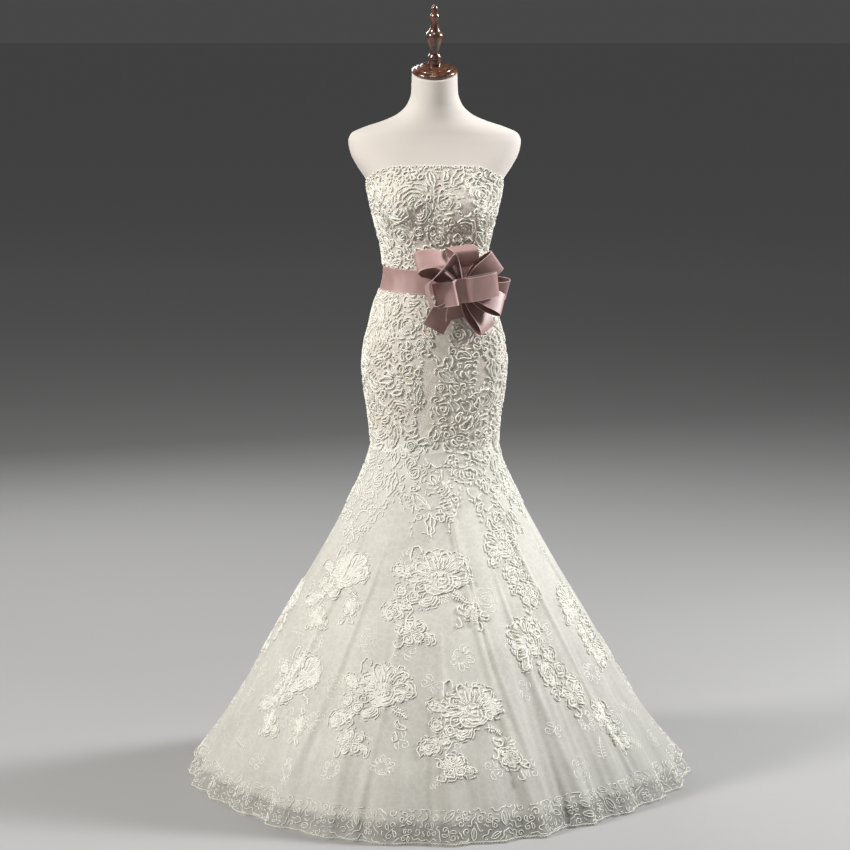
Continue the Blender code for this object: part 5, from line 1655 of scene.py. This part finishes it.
class GOWN_OT_sash(bpy.types.Operator):
    """The ribbon round the waist"""

    bl_idname = "gown.sash"
    bl_label = "Sash"

    def execute(self, context):
        angles = np.linspace(0, 2 * math.pi, SASH_COLUMNS, endpoint=False)
        across = np.linspace(-1, 1, SASH_LEVELS)[:, None]
        height = WAIST_SEAM + across * SASH_WIDTH / 2
        angle = np.broadcast_to(angles, (SASH_LEVELS, SASH_COLUMNS))
        z = height + sash_dip(angle)
        ripple = 0.00035 * np.sin(angle * 23 + across * 1.5) * (1 - across ** 2) + 0.0009
        near = figure_radius(angle, z) + FORM_CLEARANCE * 2 + BODY_WALL + ripple
        outer, inner = place(angle, near + SASH_THICK * 0.8, z), place(angle, near, z)
        flat = np.stack(np.broadcast_arrays(angle * 0.11, across * RIBBON_WIDTH / 2), axis=-1)
        piece = shell("sash_ribbon", outer, inner, True, flat)
        finished(piece, FINISHES["ribbon"], "mauve_ribbon", "sash")
        return {"FINISHED"}


def smooth_path(points, count, closed):
    """Evenly spaced places on a smooth path through these points."""
    points = np.array(points, float)
    before, after = (points[-1:], points[:2]) if closed else (points[:1], points[-1:])
    padded = np.concatenate([before, points, after])
    t = np.linspace(0, 1, 12, endpoint=False)[:, None]
    fine = []
    for a, b, c, d in zip(padded, padded[1:], padded[2:], padded[3:]):
        second, third = 2 * a - 5 * b + 4 * c - d, 3 * b - a - 3 * c + d
        fine.append(b + ((c - a) * t + second * t ** 2 + third * t ** 3) / 2)
    fine = np.concatenate(fine + [padded[-2:-1]])
    run = run_along(fine)
    places = np.linspace(0, run[-1], count, endpoint=not closed)
    return np.stack([np.interp(places, run, fine[:, k]) for k in range(3)], axis=-1)


class GOWN_OT_bow(bpy.types.Operator):
    """The looped ribbon bow: eight loops, two tails and the bound middle"""

    bl_idname = "gown.bow"
    bl_label = "Bow"

    def execute(self, context):
        origin, across, up, out = bow_frame()
        for loop in LOOPS:
            along, side, normal = loop_directions(loop.degrees, loop.lift, loop.tilt)
            turn = 2 * math.pi * np.linspace(0, 1, LOOP_STEPS)
            reach = ROOT_RADIUS + (loop.length - ROOT_RADIUS) * (1 - np.cos(turn)) / 2
            height = 0.66 * loop.bulge * np.sin(turn) * np.sin(turn / 2) + 0.0011 * np.cos(turn / 2)
            centres = origin + out * loop.level + along * reach[:, None] + normal * height[:, None]
            self.declare(loop.name, centres, side, ribbon_width_at(reach))
        for tail in TAILS:
            along, side, normal = loop_directions(tail.degrees, tail.lift, 0)
            share = np.linspace(0, 1, TAIL_STEPS)
            reach = ROOT_RADIUS + (tail.length - ROOT_RADIUS) * share
            wave = 0.0012 * np.sin(math.pi * share * 1.5)
            centres = origin + out * tail.level + along * reach[:, None] + normal * wave[:, None]
            self.declare(tail.name, centres, side, ribbon_width_at(reach), skew=tail.cut)
        axes = np.stack([across, up, out])
        for loop in SHAPED:
            path = smooth_path(loop.points, SHAPED_STEPS, loop.closed) / 1000
            widths = ribbon_width_at(np.hypot(path[:, 0], path[:, 1]))
            if loop.closed:
                widths[:] = RIBBON_WIDTH
            share = np.linspace(0, len(loop.sides) - 1, len(path))
            columns = [np.interp(share, np.arange(len(loop.sides)), side) for side in zip(*loop.sides)]
            sides = unit(np.stack(columns, axis=-1))
            self.declare(loop.name, origin + path @ axes, sides @ axes, widths, loop.closed)
        self.knot(origin, across, up, out)
        return {"FINISHED"}

    def declare(self, name, centres, side, widths, closed=False, skew=0.0):
        piece, length = ribbon_strip(f"{name}_ribbon", centres, side, widths, closed, skew)
        finished(piece, FINISHES["ribbon"], "mauve_ribbon", name)

    def knot(self, origin, across, up, out):
        depth = np.linspace(KNOT_FROM, KNOT_TO, KNOT_RINGS)
        turn = np.linspace(0, 2 * math.pi, KNOT_SIDES, endpoint=False)
        radius = KNOT_RADIUS * (0.9 + 0.1 * np.sin(np.linspace(0, math.pi, KNOT_RINGS)))
        spin = across * np.cos(turn)[:, None] + up * np.sin(turn)[:, None]
        rings = origin + out * depth[:, None, None] + spin[None] * radius[:, None, None]
        points = np.concatenate([rings.reshape(-1, 3), origin + out * depth[[0, -1], None]])
        faces = capped_rings(KNOT_RINGS, KNOT_SIDES)
        piece = new_piece("bow_knot_ribbon", points, faces, np.zeros((len(points), 2)))
        recalculated(piece)
        finished(piece, FINISHES["ribbon"], "mauve_ribbon", "bow_knot")


class GOWN_OT_form(bpy.types.Operator):
    """The padded, covered body of the dress form"""

    bl_idname = "gown.form"
    bl_label = "Form"

    def execute(self, context):
        angles = np.linspace(0, 2 * math.pi, FORM_COLUMNS, endpoint=False)
        heights = np.concatenate([np.linspace(*levels) for levels in FORM_RINGS])
        angle, z = np.meshgrid(angles, heights)
        points = place(angle, figure_radius(angle, z), z)
        share = np.clip((z - NECK_TILT_START) / (NECK_TOP - NECK_TILT_START), 0, 1)
        points[..., 2] += (points[..., 1] - MIDDLE(z)) * math.tan(NECK_TILT) * share
        points = np.concatenate([points.reshape(-1, 3), [points[0].mean(0)], [points[-1].mean(0)]])
        piece = new_piece("form_body_cover", points, capped_rings(*z.shape))
        finished(piece, FINISHES["jersey"], "form_cover", "form_body")
        return {"FINISHED"}


# The form's mesh: columns round it, and its rings below and above the shoulders
FORM_COLUMNS = 120
FORM_RINGS = ((FORM_LOW, 1.44, 60), (1.445, NECK_TOP, 52))


# Turned pieces: rows of radius and height, from the bottom up
CAP_PROFILE = [
    (0.0440, 0.0000), (0.0478, 0.0006), (0.0500, 0.0026), (0.0512, 0.0058), (0.0506, 0.0084),
    (0.0488, 0.0102), (0.0440, 0.0114), (0.0418, 0.0119), (0.0406, 0.0130), (0.0402, 0.0148),
    (0.0386, 0.0158), (0.0350, 0.0163), (0.0322, 0.0166), (0.0310, 0.0174), (0.0306, 0.0188),
    (0.0290, 0.0198), (0.0240, 0.0204), (0.0141, 0.0205),
]
FINIAL_PROFILE = [
    (0.0140, 0.0000), (0.0141, 0.0060), (0.0140, 0.0118), (0.0147, 0.0140), (0.0150, 0.0168),
    (0.0146, 0.0196), (0.0134, 0.0218), (0.0114, 0.0240), (0.0105, 0.0275), (0.0106, 0.0330),
    (0.0118, 0.0385), (0.0138, 0.0450), (0.0160, 0.0515), (0.0177, 0.0575), (0.0189, 0.0630),
    (0.0193, 0.0680), (0.0184, 0.0728), (0.0150, 0.0758), (0.0122, 0.0790), (0.0099, 0.0850),
    (0.0082, 0.0930), (0.0073, 0.1010), (0.0080, 0.1050), (0.0100, 0.1078), (0.0106, 0.1108),
    (0.0100, 0.1140), (0.0080, 0.1166), (0.0072, 0.1190), (0.0076, 0.1250), (0.0070, 0.1305),
    (0.0054, 0.1345), (0.0028, 0.1372), (0.0006, 0.1380),
]


# The base's upper rim: how far in from its radius and how far below its top
BASE_RIM = ((0.0, 0.007), (0.002, 0.003), (0.006, 0.0006), (0.012, 0.0))
POLE_RADIUS = 0.016


def turned(name, profile, sides, bottom=0.0):
    """A piece turned on a lathe: a disc drawn upwards ring by ring, then smoothed."""
    bpy.ops.object.select_all(action="DESELECT")
    radius, height = profile[0]
    where = (0, 0, bottom + height)
    bpy.ops.mesh.primitive_circle_add(vertices=sides, radius=radius, fill_type="NGON", location=where)
    piece = bpy.context.object
    piece.name = piece.data.name = name
    bpy.ops.object.mode_set(mode="EDIT")
    bpy.ops.mesh.select_all(action="SELECT")
    for (before, low), (after, high) in zip(profile, profile[1:]):
        bpy.ops.mesh.extrude_region_move(TRANSFORM_OT_translate={"value": (0, 0, high - low)})
        bpy.ops.transform.resize(value=(after / before, after / before, 1))
    bpy.ops.mesh.select_all(action="SELECT")
    bpy.ops.mesh.normals_make_consistent(inside=False)
    bpy.ops.object.mode_set(mode="OBJECT")
    bpy.ops.object.shade_smooth_by_angle(angle=TURNED_CREASE)
    return piece


def settle(piece):
    """Puts an object's place and turn into its mesh."""
    bpy.ops.object.select_all(action="DESELECT")
    piece.select_set(True)
    bpy.context.view_layer.objects.active = piece
    bpy.ops.object.transform_apply(location=True, rotation=True, scale=True)


class GOWN_OT_neck(bpy.types.Operator):
    """The turned wooden cap on the neck and its finial"""

    bl_idname = "gown.neck"
    bl_label = "Neck cap and finial"

    def execute(self, context):
        middle = Vector((0, float(MIDDLE(NECK_TOP)), NECK_TOP))
        out = Vector((0, -math.sin(NECK_TILT), math.cos(NECK_TILT)))
        for name, profile, sides, lift in (
            ("neck_cap", CAP_PROFILE, 72, SEAM_GAP),
            ("finial", FINIAL_PROFILE, 40, CAP_PROFILE[-1][1] + 2 * SEAM_GAP),
        ):
            piece = turned(f"{name}_turned", profile, sides)
            piece.rotation_euler = (NECK_TILT, 0, 0)
            piece.location = middle + out * lift
            settle(piece)
            finished(piece, FINISHES["wood"], "dark_wood", name)
        return {"FINISHED"}


class GOWN_OT_stand(bpy.types.Operator):
    """The round wooden base and the metal pole"""

    bl_idname = "gown.stand"
    bl_label = "Stand"

    def execute(self, context):
        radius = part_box("stand_base")[1].x
        rim = [(radius - inset, STAND_HEIGHT - drop) for inset, drop in BASE_RIM]
        base = [(radius - 0.003, 0.0), (radius, 0.003), *rim, (0.010, STAND_HEIGHT)]
        piece = turned("stand_base_turned", base, 72)
        settle(piece)
        finished(piece, FINISHES["wood"], "dark_wood", "stand_base")
        low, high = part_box("stand_pole")
        collar, tube = high.x, POLE_RADIUS
        tall = high.z - low.z
        pole = [(collar, 0.0), (collar, 0.010), (collar - 0.002, 0.014), (tube + 0.001, 0.021), (tube, 0.024),
                (tube, tall - 0.024), (tube + 0.002, tall - 0.020), (collar, tall - 0.010), (collar, tall)]
        piece = turned("stand_pole_turned", pole, 40, low.z)
        settle(piece)
        finished(piece, FINISHES["metal"], "stand_metal", "stand_pole")
        return {"FINISHED"}


# The zip's tape: its places across, which dip in the middle, and its levels
ZIP_ACROSS = (-0.004, -0.0008, 0.0, 0.0008, 0.004)
ZIP_LEVELS = 40
BACK_RADIUS = 0.09


class GOWN_OT_zip(bpy.types.Operator):
    """The closed zip down the centre back"""

    bl_idname = "gown.zip"
    bl_label = "Zip"

    def execute(self, context):
        for name in ("zip_upper", "zip_lower"):
            low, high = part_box(name)
            z = np.linspace(low.z, high.z, ZIP_LEVELS)[:, None]
            across, z = np.broadcast_arrays(np.array(ZIP_ACROSS)[None, :], z)
            angle = math.pi - across / BACK_RADIUS
            near = figure_radius(angle, z) + FORM_CLEARANCE + BODY_WALL
            groove = np.where(np.abs(across) < 0.0001, 0.0003, 0.0009)
            outer, inner = place(angle, near + groove, z), place(angle, near, z)
            piece = shell(f"{name}_tape", outer, inner, coordinates=np.stack([across, z], axis=-1))
            recalculated(piece)
            finished(piece, FINISHES["satin"], "ivory_satin", name)
        return {"FINISHED"}


class GOWN_OT_studio(bpy.types.Operator):
    """Pale floor, soft lights, world and camera"""

    bl_idname = "gown.studio"
    bl_label = "Studio"

    def execute(self, context):
        bpy.ops.object.select_all(action="DESELECT")
        bpy.ops.mesh.primitive_circle_add(vertices=96, radius=FLOOR_RADIUS, fill_type="NGON")
        floor = bpy.context.object
        floor.name = "floor"
        floor.data.materials.append(self.floor_finish(context.scene.gown_colours))
        world = bpy.data.worlds.new("Studio")
        bpy.context.scene.world = world
        world.use_nodes = True
        back = world.node_tree.nodes["Background"]
        back.inputs["Color"].default_value = WORLD_COLOUR
        back.inputs["Strength"].default_value = WORLD_STRENGTH
        for lamp in LAMPS:
            self.light(lamp)
        context.scene.view_settings.view_transform = "Standard"
        camera = bpy.data.objects.new("Camera", bpy.data.cameras.new("Camera"))
        bpy.context.scene.collection.objects.link(camera)
        camera.location = CAMERA_PLACE
        camera.rotation_euler = (math.radians(90 - CAMERA_DROP_DEGREES), 0, 0)
        camera.data.lens = CAMERA_LENS
        camera.data.sensor_width = 36
        bpy.context.scene.camera = camera
        return {"FINISHED"}

    def floor_finish(self, colours):
        """Pale paint, paler far away where less light falls."""
        finish = Finish("Floor", 0.85)
        far = vector_maths(finish.tree, "LENGTH", _0=finish.solid)
        share = spread(finish.tree, far.outputs["Value"], 1.0, 14.0)
        near = finish.mottled([c * 0.97 for c in colours.floor], list(colours.floor), 1.2)
        finish.feed("Base Color", blended(finish.tree, share, near, (*colours.floor_far, 1.0)))
        return finish.material

    def light(self, lamp):
        light = bpy.data.lights.new(lamp.name, "AREA")
        light.energy, light.size, light.color = lamp.power, lamp.size, lamp.colour
        made = bpy.data.objects.new(lamp.name, light)
        bpy.context.scene.collection.objects.link(made)
        made.location = lamp.where
        made.rotation_euler = (Vector(lamp.at) - Vector(lamp.where)).to_track_quat("-Z", "Y").to_euler()


FLOOR_RADIUS = 400
WORLD_COLOUR = (0.85, 0.85, 0.85, 1)
WORLD_STRENGTH = 0.075
CAMERA_PLACE = (-0.0214, -6.5, 1.71)
CAMERA_DROP_DEGREES = 7.75
CAMERA_LENS = 122.7
Lamp = namedtuple("Lamp", "name where at power size colour")
LAMPS = [
    Lamp("Key", (-3.2, -1.8, 3.2), (0, 0, 0.9), 172, 0.8, (1.0, 0.98, 0.95)),
    Lamp("Second", (3.5, 0.4, 2.9), (0, 0, 0.9), 228, 0.9, (0.98, 0.985, 1.0)),
    Lamp("Fill", (-0.5, -2.2, 4.9), (0, 0, 0.9), 62, 1.4, (1.0, 1.0, 1.0)),
    Lamp("Rim", (-1.6, 3.8, 3.0), (0, 0, 1.1), 60, 2.0, (1.0, 1.0, 1.0)),
]


OPERATORS = (
    GOWN_OT_form, GOWN_OT_neck, GOWN_OT_stand, GOWN_OT_body_cloth, GOWN_OT_body_lace, GOWN_OT_skirt,
    GOWN_OT_hem_lace, GOWN_OT_sprays, GOWN_OT_zip, GOWN_OT_sash, GOWN_OT_bow, GOWN_OT_studio,
)


class GOWN_PT_panel(bpy.types.Panel):
    bl_idname = "GOWN_PT_panel"
    bl_label = "Gown"
    bl_space_type = "VIEW_3D"
    bl_region_type = "UI"
    bl_category = "Gown"

    def draw(self, context):
        for group in (context.scene.gown_sizes, context.scene.gown_colours):
            box = self.layout.box()
            for name in group.__annotations__:
                box.prop(group, name)
        for operator in OPERATORS:
            self.layout.operator(operator.bl_idname)


CLASSES = (GownSizes, GownColours, *OPERATORS, GOWN_PT_panel)


def register():
    for made in CLASSES:
        bpy.utils.register_class(made)
    bpy.types.Scene.gown_sizes = bpy.props.PointerProperty(type=GownSizes)
    bpy.types.Scene.gown_colours = bpy.props.PointerProperty(type=GownColours)


def unregister():
    del bpy.types.Scene.gown_colours
    del bpy.types.Scene.gown_sizes
    for made in reversed(CLASSES):
        bpy.utils.unregister_class(made)


def main():
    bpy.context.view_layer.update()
    register()
    make_finishes(bpy.context.scene.gown_colours)
    for operator in OPERATORS:
        getattr(bpy.ops.gown, operator.bl_idname.split(".")[1])()


if __name__ == "__main__":
    main()
